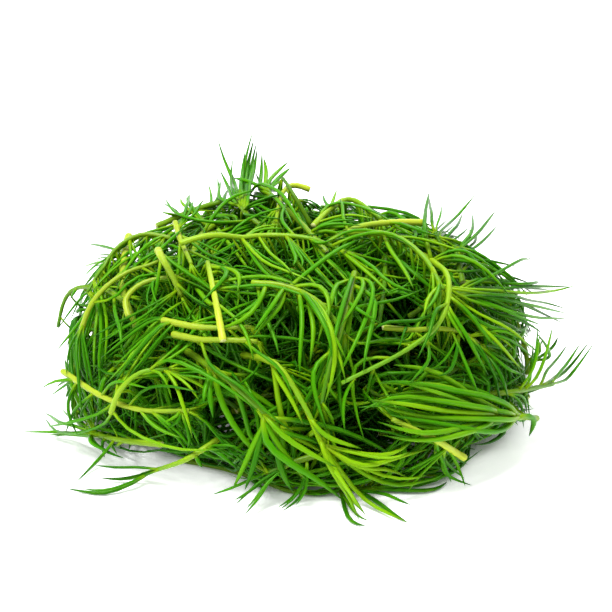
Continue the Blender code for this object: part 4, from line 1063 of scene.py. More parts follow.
# How far it may run outside its leaf, and how many points its leaf must have and it keeps
COMPANION_STRAY = 1.5 * MM
COMPANION_LEAST = 6
COMPANION_KEEPS = 5
# It has left the stem after so many points, is its whole way off a point later, and needs room of
# this share of its radius
COMPANION_FREE = 3
COMPANION_EASE_OUT = 4
COMPANION_ROOM = 0.5

# A wisp's ranges
WISP_WIDTHS = (0.3, 0.45)
WISP_LENGTHS = (0.4, 0.8)
WISP_EDGES = (0.5, 1, 3)
WISP_SPREADS = (0.4, 1.2)
WISP_LIMITS = (0.94, 1.0)
WISP_BENDS = (0.1, 0.3)

# The small sprigs between the large ones: their length and limit, and the levels they start from
SMALL_LENGTH = 42 * MM
SMALL_LIMIT = 0.9
SMALL_TURN = 2.1
FILL_GAP = 0.1 * MM
FILL_CLIMB = 0.98
FILL_LEVELS = (0.85, 0.76, 0.66)
INSIDE_GAP = -0.2 * MM
INSIDE_LEVELS = (0.75, 0.45, 0.6, 0.3)
INSIDE_CLIMBS = (0, 0, 0.12, 0.35, 0.6)
FOOT_LEVELS = (0.9, 0.84)

# The usual coat, that of the sprigs deep inside, which only have to be dense, and that of the foot
COAT = Coat()
INNER_COAT = Coat(spacing=2.2 * MM, gap=-0.4 * MM, length=40 * MM, thickness=1.5 * MM, companions=0, tuft=5,
                  wisps=0, limits=(0.5, 0.62, 0.72, 0.8), widths=(0.7, 0.9, 1.1))
FOOT_COAT = Coat(spacing=2.2 * MM, gap=-0.4 * MM, length=32 * MM, thickness=1.3 * MM, companions=0, tuft=5,
                 wisps=1, limits=(0.84, 0.88, 0.92, 0.95), widths=(0.6, 0.8, 1.0))


class Growth(Heap):
    """The heap with all its leaves and with small sprigs between the large ones."""

    def __init__(self) -> None:
        """Start with an empty mound."""
        super().__init__()
        self.skeleton = 0
        self.outline = Outline()
        self.astray = math.inf

    def fits(self, spot: Vector, radius: float, own: list[Vector], own_gap: float) -> bool:
        """Tell whether a strand has room at a point that isn't too far outside the outline."""
        if self.astray < math.inf:
            if self.outline.depth(spot) < -self.astray:
                return False
            if self.outline.hollow(spot) and self.mound.level(spot) > HOLLOW_LEVEL:
                return False
        return super().fits(spot, radius, own, own_gap)

    def open_view(self, path: Path, share: float) -> None:
        """Keep the space before a share of a strand free, as seen from the front."""
        toward = Vector((0, -math.cos(SIGHT_ANGLE), math.sin(SIGHT_ANGLE)))
        seen = path.points[:max(2, round(len(path.points) * share))]
        for k in range(1, OPEN_STEPS + 1):
            self.room.lay(Path([p + toward * (k * OPEN_STEP) for p in seen]), OPEN_RADIUS)

    def lay_skeleton(self) -> None:
        """Lay the sprigs of the construction, in its order."""
        self.grow_base(BASE_SPRIGS)
        for placed in (*CROWN, *LEFT, *FRONT):
            self.place(placed)
        self.grow_shell(SHELL_SPRIGS)
        self.grow_core(CORE_SPRIGS)
        self.skeleton = len(self.sprigs)
        by_hand = {placed.name: len(placed.leaves) for placed in (*CROWN, *LEFT, *FRONT)}
        for sprig in self.sprigs:
            own = by_hand.get(sprig.name, 0)
            sprig.leaves = sprig.leaves[:own] + [self.trimmed(leaf) for leaf in sprig.leaves[own:]]
            for leaf in sprig.leaves:
                leaf.path = self.calm(leaf.path)
                leaf.radius *= self.habit(sprig).width
        self.curl = COAT_CURL
        self.easing = COAT_EASING
        self.pull = COAT_PULL
        self.most_lift = COAT_LIFT

    def lay_seen(self, coat: Coat) -> None:
        """Lay the leaves that show best, each on the sprig whose stem is nearest to its base."""
        self.margin = coat.gap
        dice = random.Random("seen leaves")
        seen = []
        for spots in (*SEEN_MIDDLE, *SEEN_LEFT, *SEEN_RIGHT, *SEEN_CROWN):
            path = smooth_through([self.mound.facing(*spot) for spot in spots])
            sprig = min(self.sprigs, key=lambda s: min((p - path.points[0]).length for p in s.stem.points))
            radius = coat.thickness / 2 * self.habit(sprig).width * dice.uniform(*SEEN_WIDTHS)
            path = self.rested(path, radius)
            node = self.nearest(sprig.stem, path.points[0])
            path = Path([sprig.stem.at(node), *path.points[1:]]).eased(SEEN_EASING)
            leaf = Leaf(self.calm(path), radius, node)
            self.keep_leaf(sprig, leaf)
            seen.append((sprig, leaf))
        for sprig in self.sprigs:
            if self.habit(sprig).clear:
                self.open_view(sprig.stem, self.habit(sprig).clear)
        for sprig, leaf in seen:
            if dice.random() < SEEN_FREE:
                self.open_view(leaf.path, share=1.0)
        for sprig, leaf in seen:
            self.add_companion(sprig, leaf, coat, dice)

    @staticmethod
    def habit(sprig: Sprig) -> Habit:
        """Return the looks of a sprig: its own, or drawn from its name."""
        if sprig.name in HABITS:
            return HABITS[sprig.name]
        dice = random.Random(sprig.name + " habit")
        return Habit(width=dice.uniform(*HABIT_WIDTHS), length=dice.uniform(*HABIT_LENGTHS),
                     mood=dice.uniform(*HABIT_MOODS))

    def clad(self, sprig: Sprig, coat: Coat) -> None:
        """Grow the rest of a sprig's leaves: beside the first ones, along the stem and at its tip."""
        self.margin = coat.gap
        habit = self.habit(sprig)
        dice = random.Random(sprig.name + " coat")
        for leaf in sprig.leaves[:SKELETON_LEAVES]:
            for _ in range(round(coat.companions * habit.dense)):
                self.add_companion(sprig, leaf, coat, dice)
        length = sprig.stem.length
        way = habit.bare * length
        turn = dice.uniform(0, math.tau)
        while way < length:
            share = way / length
            turn += GOLDEN_TURN
            spread = FOOT_SPREAD - SPREAD_LOSS * share
            self.add_leaf(sprig, way, turn, spread, coat, dice, FOOT_SIZE - SIZE_LOSS * share)
            way += coat.spacing / habit.dense * dice.uniform(*SPACINGS)
        for _ in range(round(coat.tuft * habit.dense)):
            turn += GOLDEN_TURN
            self.add_leaf(sprig, length * TUFT_PLACE, turn, TUFT_SPREAD, coat, dice, TUFT_SIZE)
        for _ in range(coat.wisps):
            turn += GOLDEN_TURN
            self.add_wisp(sprig, dice.uniform(habit.bare, 1) * length, turn, coat, dice)

    def add_companion(self, sprig: Sprig, leaf: Leaf, coat: Coat, dice: random.Random) -> None:
        """Grow a leaf that runs beside another, as the leaves of one shoot do.

        Args:
            sprig: The sprig that both grow on.
            leaf: The other leaf.
            coat: How the sprig is clad.
            dice: The random numbers.
        """
        count = len(leaf.path.points)
        if count < COMPANION_LEAST:
            return
        ahead = leaf.path.heading(leaf.path.length / 2)
        radius = coat.thickness / 2 * self.habit(sprig).width * dice.uniform(*COMPANION_WIDTHS)
        best, best_room = None, -1.0
        for _ in range(COMPANION_TRIES):
            aside = Quaternion(ahead, dice.uniform(0, math.tau)) @ ahead.orthogonal().normalized()
            away = coat.companion_away * dice.uniform(*COMPANION_AWAYS)
            spread = dice.uniform(*COMPANION_PARTING)
            points = []
            for k, spot in enumerate(leaf.path.points):
                points.append(spot + aside * away * min(1, k / COMPANION_EASE_OUT) * (1 + spread * k / count))
            room = min(self.room.at(p) for p in points[COMPANION_FREE:])
            if room > best_room and self.runs_well(points, leaf):
                best, best_room = points, room
        if best is None:
            return
        keep = max(COMPANION_KEEPS, round(count * dice.uniform(*COMPANION_LENGTHS)))
        path = self.calm(Path(best[:keep]).eased(EASING))
        if best_room > radius * COMPANION_ROOM:
            self.keep_leaf(sprig, Leaf(path, radius, leaf.node))

    def runs_well(self, points: list[Vector], leaf: Leaf) -> bool:
        """Tell whether a companion's points stay off the floor, the outline and the hollows.

        Args:
            points: The companion's points.
            leaf: The leaf that it runs beside.

        Returns:
            True if they do.
        """
        if min(p.z for p in points) <= leaf.radius * LYING_SHARE:
            return False
        outline = self.outline
        astray = min(outline.depth(p) - outline.depth(q) for p, q in zip(points, leaf.path.points))
        return astray > -COMPANION_STRAY and not any(outline.hollow(p) for p in points[COMPANION_FREE:])

    def keep_leaf(self, sprig: Sprig, leaf: Leaf) -> None:
        """Add a finished leaf to its sprig and take its space."""
        self.room.lay(leaf.path, leaf.radius)
        sprig.leaves.append(leaf)

    def add_leaf(self, sprig: Sprig, node: float, turn: float, spread: float, coat: Coat,
                 dice: random.Random, size: float) -> None:
        """Grow one leaf from a node: the longest of several arcs, or one that feels its way.

        Args:
            sprig: The sprig that it grows on.
            node: How far along the stem it grows.
            turn: The direction round the stem in which it leaves.
            spread: The angle between it and the stem.
            coat: How the sprig is clad.
            dice: The sprig's random numbers.
            size: Its length as a share of the usual.
        """
        habit = self.habit(sprig)
        length = coat.length * habit.length * size * dice.uniform(*COAT_LENGTHS)
        radius = coat.thickness / 2 * habit.width * dice.choice(coat.widths)
        limit = dice.choice(coat.limits)
        self.astray = EDGE + dice.choice(EDGE_CHOICES) * MM
        best = None
        for attempt in range(COAT_TRIES):
            start, heading = self.leaving(sprig, node, turn + attempt * GOLDEN_TURN, spread, dice)
            path = self.swept(start, heading, length, radius, limit, abs(dice.gauss(0, COAT_BEND)), dice)
            if best is None or path.length > best.length:
                best = path
            if path.length > LONG_ENOUGH_LEAF * length:
                break
        if best.length < TOO_SHORT * length:
            start, heading = self.leaving(sprig, node, turn, spread, dice)
            path = self.calm(self.grown(start, heading, length, radius, limit, LEAF_DROOP, dice, []))
            best = path if path.length > best.length * WORTH_FEELING else best
        self.astray = math.inf
        if best.length > coat.shortest:
            self.keep_leaf(sprig, Leaf(best, radius, node))

    def add_wisp(self, sprig: Sprig, node: float, turn: float, coat: Coat, dice: random.Random) -> None:
        """Grow one hair-thin, curly leaf.

        Args:
            sprig: The sprig that it grows on.
            node: How far along the stem it grows.
            turn: The direction round the stem in which it leaves.
            coat: How the sprig is clad.
            dice: The sprig's random numbers.
        """
        radius = coat.thickness / 2 * dice.uniform(*WISP_WIDTHS)
        length = coat.length * dice.uniform(*WISP_LENGTHS)
        self.astray = dice.choice(WISP_EDGES) * MM
        start, heading = self.leaving(sprig, node, turn, dice.uniform(*WISP_SPREADS), dice)
        limit = dice.choice(WISP_LIMITS)
        path = self.swept(start, heading, length, radius, limit, dice.uniform(*WISP_BENDS), dice)
        self.astray = math.inf
        if path.length > coat.shortest:
            self.keep_leaf(sprig, Leaf(path, radius, node))

    @staticmethod
    def leaving(sprig: Sprig, node: float, turn: float, spread: float,
                dice: random.Random) -> tuple[Vector, Vector]:
        """Return the place and the direction in which a leaf leaves its stem.

        Args:
            sprig: The sprig that it grows on.
            node: How far along the stem it grows.
            turn: The direction round the stem.
            spread: The angle between it and the stem, about.
            dice: The sprig's random numbers.

        Returns:
            The place and the direction.
        """
        along = sprig.stem.heading(min(node, sprig.stem.length - STEP))
        aside = Quaternion(along, turn) @ along.orthogonal().normalized()
        open_by = spread * dice.uniform(*SPREADS)
        heading = along * math.cos(open_by) + aside * math.sin(open_by)
        return sprig.stem.at(node) + heading * (sprig.radius * COAT_ROOT_SHARE), heading

    def swept(self, start: Vector, heading: Vector, length: float, radius: float, limit: float,
              bend: float, dice: random.Random) -> Path:
        """Return the path of a leaf with one even bend, up to where its way is blocked.

        Args:
            start: Where it begins.
            heading: The direction it sets out in.
            length: How long it would be with nothing in its way.
            radius: Half its thickness.
            limit: The level of the mound at which it turns back.
            bend: The angle by which it turns at each step.
            dice: The sprig's random numbers.

        Returns:
            The path.
        """
        axis = self.shaken(dice).normalized()
        points = [start.copy()]
        for _ in range(round(length / STEP)):
            way = self.guided(points[-1], Quaternion(axis, bend) @ heading, limit, COAT_DROOP)
            spot = points[-1] + way * STEP
            if not self.fits(spot, radius, [], 0):
                break
            heading = way
            points.append(spot)
        return self.calm(Path(points)) if len(points) > 2 else Path([start, start + heading * STEP])

    def trimmed(self, leaf: Leaf) -> Leaf:
        """Return a leaf cut short where it leaves the outline."""
        points = leaf.path.points
        outside = [k for k, p in enumerate(points) if self.outline.depth(p) < -STRAY]
        if outside:
            points = points[:max(outside[0], TRIMMED_POINTS)]
        return Leaf(Path(points), leaf.radius, leaf.node)

    @staticmethod
    def calm(path: Path) -> Path:
        """Return the path with its kinks eased until none is sharp."""
        for _ in range(CALM_ROUNDS):
            runs = [b - a for a, b in zip(path.points, path.points[1:])]
            if all(a.angle(b, 0) < SHARP for a, b in zip(runs, runs[1:])):
                break
            path = path.eased(EASING)
        return path

    def fill(self, count: int) -> None:
        """Grow small sprigs all over the mound, in what room is left."""
        for k in range(count):
            self.margin = FILL_GAP
            climb = ((k * GOLDEN_SHARE) % 1) * FILL_CLIMB
            start = self.mound.on_shell(k * GOLDEN_TURN, climb, FILL_LEVELS[k % len(FILL_LEVELS)])
            out = self.mound.outward(start)
            side = Quaternion(out, k * SMALL_TURN) @ out.orthogonal().normalized()
            self.add_small(start, side, COAT)

    def fill_inside(self, count: int) -> None:
        """Grow small sprigs on the floor beneath the mound and deep inside it."""
        for k in range(count):
            self.margin = INSIDE_GAP
            level = INSIDE_LEVELS[k % len(INSIDE_LEVELS)]
            climb = INSIDE_CLIMBS[k % len(INSIDE_CLIMBS)]
            start = self.mound.on_shell(k * GOLDEN_TURN, climb, level)
            heading = Vector((math.cos(k * SMALL_TURN), math.sin(k * SMALL_TURN), 0))
            self.add_small(start, heading, INNER_COAT)

    def fill_foot(self, count: int) -> None:
        """Grow small sprigs on the floor along the foot of the heap."""
        for k in range(count):
            self.margin = INSIDE_GAP
            turn = k * GOLDEN_TURN
            start = self.mound.on_shell(turn, 0, FOOT_LEVELS[k % len(FOOT_LEVELS)])
            heading = Vector((-math.sin(turn), math.cos(turn), 0)) * (-1) ** k
            self.add_small(start, heading, FOOT_COAT)

    def add_small(self, start: Vector, heading: Vector, coat: Coat) -> None:
        """Grow and clad one small sprig, if it has room.

        Args:
            start: About where its cut end is.
            heading: About where it sets out to.
            coat: How it is clad.
        """
        before = len(self.sprigs)
        self.astray = 0.0
        name = f"small_sprig_{before - self.skeleton + 1:03d}"
        self.grow_sprig(name, start, heading, SMALL_LENGTH, SMALL_LIMIT)
        self.astray = math.inf
        if len(self.sprigs) > before:
            self.clad(self.sprigs[-1], coat)


# The bake map: the band of the unrolled sides, and the rows of the two ends, each with its half height
SIDES_LOW = 0.04
SIDES_HIGH = 0.95
END_MIDDLE = 0.5
END_HALF_WIDTH = 0.4
FOOT_ROW = (0.02, 0.015)
TIP_ROW = (0.995, 0.004)

# A turn by one radian brings the rings of a strand as close together as this length would
TURN_LENGTH = 9 * MM
# How far strands stay above the floor
FLOOR_CLEARANCE = 0.02 * MM
# A heading whose level side is shorter than this counts as upright
UPRIGHT = 0.1
# The heights of a model's rings are told apart to so many digits
HEIGHT_DIGITS = 5


@dataclass
class StrandModel:
    """A straight strand of unit length and unit radius, modelled once and copied for every strand."""

    name: str
    sides: int
    rings: tuple[tuple[float, float], ...]
    flatness: float = 1.0
    fluting: float = 0.0

    def build(self) -> None:
        """Model the strand: draw it up along Z ring by ring, close its tip and unwrap it."""
        bpy.ops.object.select_all(action="DESELECT")
        height, radius = self.rings[0]
        bpy.ops.mesh.primitive_circle_add(vertices=self.sides, radius=radius, fill_type="NGON",
                                          location=(0, 0, 0))
        thing = bpy.context.object
        thing.name = self.name
        bpy.ops.object.mode_set(mode="EDIT")
        bpy.ops.mesh.select_mode(type="FACE")
        bpy.ops.mesh.select_all(action="SELECT")
        for next_height, next_radius in self.rings[1:]:
            bpy.ops.mesh.extrude_region_move(TRANSFORM_OT_translate={"value": (0, 0, next_height - height)})
            share = next_radius / radius
            bpy.ops.transform.resize(value=(share, share, 1), center_override=(0, 0, next_height))
            height, radius = next_height, next_radius
        bpy.ops.mesh.select_all(action="SELECT")
        bpy.ops.mesh.normals_make_consistent(inside=False)
        bpy.ops.object.mode_set(mode="OBJECT")
        bpy.ops.object.shade_smooth()
        self.keep(thing)

    def keep(self, thing: bpy.types.Object) -> None:
        """Flatten and flute the section, map it, and keep the mesh as arrays and as a model."""
        mesh = thing.data
        spots = np.zeros(len(mesh.vertices) * 3)
        mesh.vertices.foreach_get("co", spots)
        spots = spots.reshape(-1, 3)
        turn = np.arctan2(spots[:, 1], spots[:, 0]) / math.tau % 1
        self.share = spots[:, 2].copy()
        self.levels = sorted({round(float(z), HEIGHT_DIGITS) for z in self.share})
        self.ring = np.array([int(np.argmin(np.abs(np.array(self.levels) - z))) for z in self.share])
        step = np.rint(turn * self.sides).astype(int)
        across = spots[:, :2] * (1 - self.fluting * (step % 2))[:, None]
        across[:, 1] = np.where(across[:, 1] > 0, across[:, 1] * self.flatness, across[:, 1])
        self.across = across
        self.unwrap(mesh, turn)
        self.mesh = mesh
        bpy.data.objects.remove(thing)

    def unwrap(self, mesh: bpy.types.Mesh, turn: np.ndarray) -> None:
        """Give the model a map with its sides unrolled, and its two ends beneath and above them."""
        layer = mesh.uv_layers[0]
        layer.name = "OFBake"
        for face in mesh.polygons:
            turns = [float(turn[v]) for v in face.vertices]
            end = len(face.vertices) == self.sides
            if not end and max(turns) - min(turns) > 0.5:
                turns = [t + 1 if t < 0.5 else t for t in turns]
            for loop, vert, t in zip(face.loop_indices, face.vertices, turns):
                spot = (t, SIDES_LOW + SIDES_HIGH * float(self.share[vert]))
                if end:
                    row, half = FOOT_ROW if self.share[vert] < 0.5 else TIP_ROW
                    across = END_MIDDLE + END_HALF_WIDTH * math.cos(t * math.tau)
                    spot = (across, row + half * math.sin(t * math.tau))
                layer.data[loop].uv = spot
            face.material_index = 1 if end and self.share[face.vertices[0]] < 0.5 else 0

    def bent(self, path: Path, radius: float, strip: tuple[float, float], tone: float) -> bpy.types.Object:
        """Return a copy of the model, bent along a path.

        Args:
            path: The strand's middle line.
            radius: Half its thickness.
            strip: The left and right edge of its strip of the texture.
            tone: Its tone, from 0 to 1: its own, with painted shade for leaves deep in the heap.

        Returns:
            The copy, with a mesh of its own.
        """
        mesh = self.mesh.copy()
        middles, sides, rises = self.frames(path)
        spots = middles[self.ring] + (sides[self.ring] * self.across[:, :1]
                                      + rises[self.ring] * self.across[:, 1:]) * radius
        spots[:, 2] = np.maximum(spots[:, 2], FLOOR_CLEARANCE)
        mesh.vertices.foreach_set("co", spots.ravel())
        bake = mesh.uv_layers["OFBake"]
        flat = np.zeros(len(mesh.loops) * 2)
        bake.data.foreach_get("uv", flat)
        flat = flat.reshape(-1, 2)
        strand = mesh.uv_layers.new(name="Strand")
        strand.data.foreach_set("uv", (flat * (math.tau * radius / MM, path.length / MM)).ravel())
        left, right = strip
        bake = mesh.uv_layers["OFBake"]
        bake.data.foreach_set("uv", (flat * (right - left, 1) + (left, 0)).ravel())
        for name, values in (("along", self.share), ("tone", np.full(len(self.share), tone))):
            mesh.attributes.new(name=name, type="FLOAT", domain="POINT").data.foreach_set("value", values)
        return bpy.data.objects.new(self.name, mesh)

    def paced(self, path: Path) -> np.ndarray:
        """Return how far along the path each ring lies: closer together where it turns."""
        runs = [b - a for a, b in zip(path.points, path.points[1:])]
        turns = [0.0, *(a.angle(b, 0) for a, b in zip(runs, runs[1:]))]
        steps = [run.length + turn * TURN_LENGTH for run, turn in zip(runs, turns)]
        paces = np.concatenate(([0.0], np.cumsum(steps)))
        return np.interp(np.array(self.levels) * paces[-1], paces, path.marks)

    def frames(self, path: Path) -> tuple[np.ndarray, np.ndarray, np.ndarray]:
        """Return the middle, side and rise of each ring, turned as little as can be along the path."""
        ahead = path.heading(0)
        side = ahead.cross(Vector((0, 0, 1)))
        side = side.normalized() if side.length > UPRIGHT else Vector((1, 0, 0))
        rise = side.cross(ahead).normalized()
        rows = []
        for way in self.paced(path):
            now = path.heading(way)
            turn = ahead.rotation_difference(now)
            side, rise, ahead = turn @ side, turn @ rise, now
            rows.append((path.at(way)[:], side[:], rise[:]))
        middles, sides, rises = zip(*rows)
        return np.array(middles), np.array(sides), np.array(rises)


class NodeSketch:
    """One material and the nodes that are added to it."""

    def __init__(self, name: str) -> None:
        """Start with a Principled shader only."""
        self.material = bpy.data.materials.new(name)
        self.material.use_nodes = True
        self.tree = self.material.node_tree
        self.shader = self.tree.nodes["Principled BSDF"]

    def add(self, kind: str, settings: dict, inputs: dict) -> bpy.types.Node:
        """Add a node.

        Args:
            kind: Its type.
            settings: Its own properties.
            inputs: Values or links of its sockets, by name or number.

        Returns:
            The node.
        """
        node = self.tree.nodes.new(kind)
        for key, value in settings.items():
            setattr(node, key, value)
        for key, value in inputs.items():
            self.feed(node.inputs[key], value)
        return node

    def feed(self, socket: bpy.types.NodeSocket, value: object) -> None:
        """Link a socket to another, or set its value."""
        if isinstance(value, Value):
            value = value.socket
        if isinstance(value, bpy.types.NodeSocket):
            self.tree.links.new(value, socket)
        else:
            socket.default_value = value

    def attribute(self, name: str) -> "Value":
        """Return the number that a mesh attribute holds."""
        return Value(self, self.add("ShaderNodeAttribute", {"attribute_name": name}, {}).outputs["Fac"])

    def mixed(self, factor: object, first: object, second: object) -> bpy.types.NodeSocket:
        """Mix two colours, each a link or three numbers, at the node's own colour sockets."""
        first, second = (c if isinstance(c, bpy.types.NodeSocket) else (*c, 1) for c in (first, second))
        node = self.add("ShaderNodeMix", {"data_type": "RGBA"}, {0: factor, 6: first, 7: second})
        return node.outputs[2]

    def noise(self, vector: object, scale: float, detail: float) -> "Value":
        """Return a noise's number."""
        node = self.add("ShaderNodeTexNoise", {}, {"Vector": vector, "Scale": scale, "Detail": detail})
        return Value(self, node.outputs["Fac"])

    def strand_place(self, around: float, along: float) -> bpy.types.NodeSocket:
        """Return the place on the strand in millimetres, scaled."""
        place = self.add("ShaderNodeUVMap", {"uv_map": "Strand"}, {}).outputs[0]
        inputs = {0: place, 1: (around, along, 1)}
        return self.add("ShaderNodeVectorMath", {"operation": "MULTIPLY"}, inputs).outputs[0]

    def object_place(self) -> bpy.types.NodeSocket:
        """Return the place in the heap."""
        return self.add("ShaderNodeTexCoord", {}, {}).outputs["Object"]

    def bump(self, height: object, strength: float, distance: float) -> None:
        """Raise the surface by a height."""
        node = self.add("ShaderNodeBump", {}, {"Height": height, "Strength": strength, "Distance": distance})
        self.finish({"Normal": node.outputs[0]})

    def finish(self, inputs: dict) -> bpy.types.Material:
        """Feed the shader's sockets, by name, and return the material."""
        for name, value in inputs.items():
            self.feed(self.shader.inputs[name], value)
        return self.material


class Value:
    """A number socket that takes part in Python sums."""

    def __init__(self, sketch: NodeSketch, socket: bpy.types.NodeSocket) -> None:
        """Wrap a socket."""
        self.sketch = sketch
        self.socket = socket

    def work(self, operation: str, first: object, second: object) -> "Value":
        """Add a Math node."""
        node = self.sketch.add("ShaderNodeMath", {"operation": operation}, {0: first, 1: second})
        return Value(self.sketch, node.outputs[0])

    def __add__(self, other: object) -> "Value":
        """Return self + other."""
        return self.work("ADD", self, other)

    __radd__ = __add__

    def __sub__(self, other: object) -> "Value":
        """Return self - other."""
        return self.work("SUBTRACT", self, other)

    def __rsub__(self, other: object) -> "Value":
        """Return other - self."""
        return self.work("SUBTRACT", other, self)

    def __mul__(self, other: object) -> "Value":
        """Return self * other."""
        return self.work("MULTIPLY", self, other)

    __rmul__ = __mul__

    def span(self, low: float, high: float, to_low: float = 0.0, to_high: float = 1.0) -> "Value":
        """Map a span of the number to another, smoothly and clamped."""
        spans = {"From Min": low, "From Max": high, "To Min": to_low, "To Max": to_high}
        settings = {"interpolation_type": "SMOOTHSTEP"}
        node = self.sketch.add("ShaderNodeMapRange", settings, {"Value": self, **spans})
        return Value(self.sketch, node.outputs["Result"])


Colour = tuple[float, float, float]
# From, to, and the numbers that these become, where they aren't 0 and 1
Span = tuple[float, ...]


@dataclass(frozen=True)
class LeafFinish:
    """Fresh needle leaf: pale at its base, deep green, darker at its tip, with fine long streaks, and painted
    shade for leaves deep in the heap.
    """

    name: str = "leaf"
    base: Colour = (0.22, 0.37, 0.004)
    bright: Colour = (0.185, 0.38, 0.003)
    light: Colour = (0.046, 0.235, 0.001)
    deep: Colour = (0.013, 0.120, 0.001)
    tip: Colour = (0.014, 0.090, 0.002)
    streaks: tuple[float, float] = (2.2, 0.09)
    patches: float = 60.0
    patchiness: float = 0.5
    light_span: Span = (0, 0.55)
    bright_span: Span = (0.5, 1.0)
    streak_span: Span = (0.45, 0.75, 0, 0.35)
    base_span: Span = (0.0, 0.22, 0.8, 0.0)
    tip_span: Span = (0.8, 1.0, 0.0, 0.75)
    rough_span: Span = (0.3, 0.8, 0.27, 0.42)
    streak_depth: float = 0.2 * MM
    specular: float = 0.2
    shine: Colour = (0.6, 1.0, 0.3)
    glow: float = 0.25
    glow_colours: Colour = (0.5, 1.0, 0.15)
    glow_reach: float = 1.0 * MM

    def make(self) -> bpy.types.Material:
        """Return the material."""
        sketch = NodeSketch(self.name)
        along = sketch.attribute("along")
        tone = sketch.attribute("tone")
        streak = sketch.noise(sketch.strand_place(*self.streaks), scale=1.0, detail=3.0)
        patch = sketch.noise(sketch.object_place(), self.patches, detail=2.0)
        # The tone holds the leaf's own tone and, for leaves deep in the heap, painted shade that turns them
        # towards the deep colour
        ripe = tone + patch * self.patchiness - self.patchiness / 2
        green = sketch.mixed(ripe.span(*self.light_span), self.deep, self.light)
        green = sketch.mixed(ripe.span(*self.bright_span), green, self.bright)
        green = sketch.mixed(streak.span(*self.streak_span), green, self.bright)
        green = sketch.mixed(along.span(*self.base_span), green, self.base)
        green = sketch.mixed(along.span(*self.tip_span), green, self.tip)
        rough = streak.span(*self.rough_span)
        sketch.bump(streak, strength=0.3, distance=self.streak_depth)
        return sketch.finish({
            "Base Color": green, "Roughness": rough, "Specular IOR Level": self.specular,
            "Specular Tint": (*self.shine, 1), "Subsurface Weight": self.glow,
            "Subsurface Radius": self.glow_colours, "Subsurface Scale": self.glow_reach,
        })


@dataclass(frozen=True)
class StemFinish:
    """Stem with long ribs, greener towards its tip."""

    name: str
    pale: Colour
    green: Colour
    rib: Colour
    dull: Colour
    ribs: tuple[float, float] = (1.4, 0.05)
    patches: float = 45.0
    patchiness: float = 0.8
    greening: float = 0.8
    rib_span: Span = (0.45, 0.7, 0, 0.5)
    dull_span: Span = (0, 1, 0.8, 0)
    rough_span: Span = (0.3, 0.8, 0.32, 0.5)
    rib_depth: float = 0.3 * MM
    specular: float = 0.2
    glow: float = 0.25
    glow_colours: Colour = (0.6, 1.0, 0.2)
    glow_reach: float = 1.2 * MM

    def make(self) -> bpy.types.Material:
        """Return the material."""
        sketch = NodeSketch(self.name)
        along = sketch.attribute("along")
        rib = sketch.noise(sketch.strand_place(*self.ribs), scale=1.0, detail=3.0)
        patch = sketch.noise(sketch.object_place(), self.patches, detail=2.0)
        ripe = along * self.greening + patch * self.patchiness - self.patchiness / 2
        colour = sketch.mixed(ripe.span(0, 1), self.pale, self.green)
        colour = sketch.mixed(rib.span(*self.rib_span), colour, self.rib)
        colour = sketch.mixed(sketch.attribute("tone").span(*self.dull_span), colour, self.dull)
        rough = rib.span(*self.rough_span)
        sketch.bump(rib, strength=0.5, distance=self.rib_depth)
        return sketch.finish({
            "Base Color": colour, "Roughness": rough, "Specular IOR Level": self.specular,
            "Subsurface Weight": self.glow, "Subsurface Radius": self.glow_colours,
            "Subsurface Scale": self.glow_reach,
        })


@dataclass(frozen=True)
class CutFinish:
    """The pale, moist cut end of a stem."""

    name: str = "cut_end"
    flesh: Colour = (0.62, 0.66, 0.25)
    ring: Colour = (0.40, 0.42, 0.12)
    grains: float = 2500.0
    ring_span: Span = (0.4, 0.65)
    rough_span: Span = (0.3, 0.7, 0.4, 0.65)

    def make(self) -> bpy.types.Material:
        """Return the material."""
        sketch = NodeSketch(self.name)
        grain = sketch.noise(sketch.object_place(), self.grains, detail=3.0)
        colour = sketch.mixed(grain.span(*self.ring_span), self.flesh, self.ring)
        return sketch.finish({"Base Color": colour, "Roughness": grain.span(*self.rough_span)})


@dataclass(frozen=True)
class Lamp:
    """A square lamp: where it hangs, how wide it is, and its power in watts."""

    name: str
    spot: tuple[float, float, float]
    size: float
    power: float


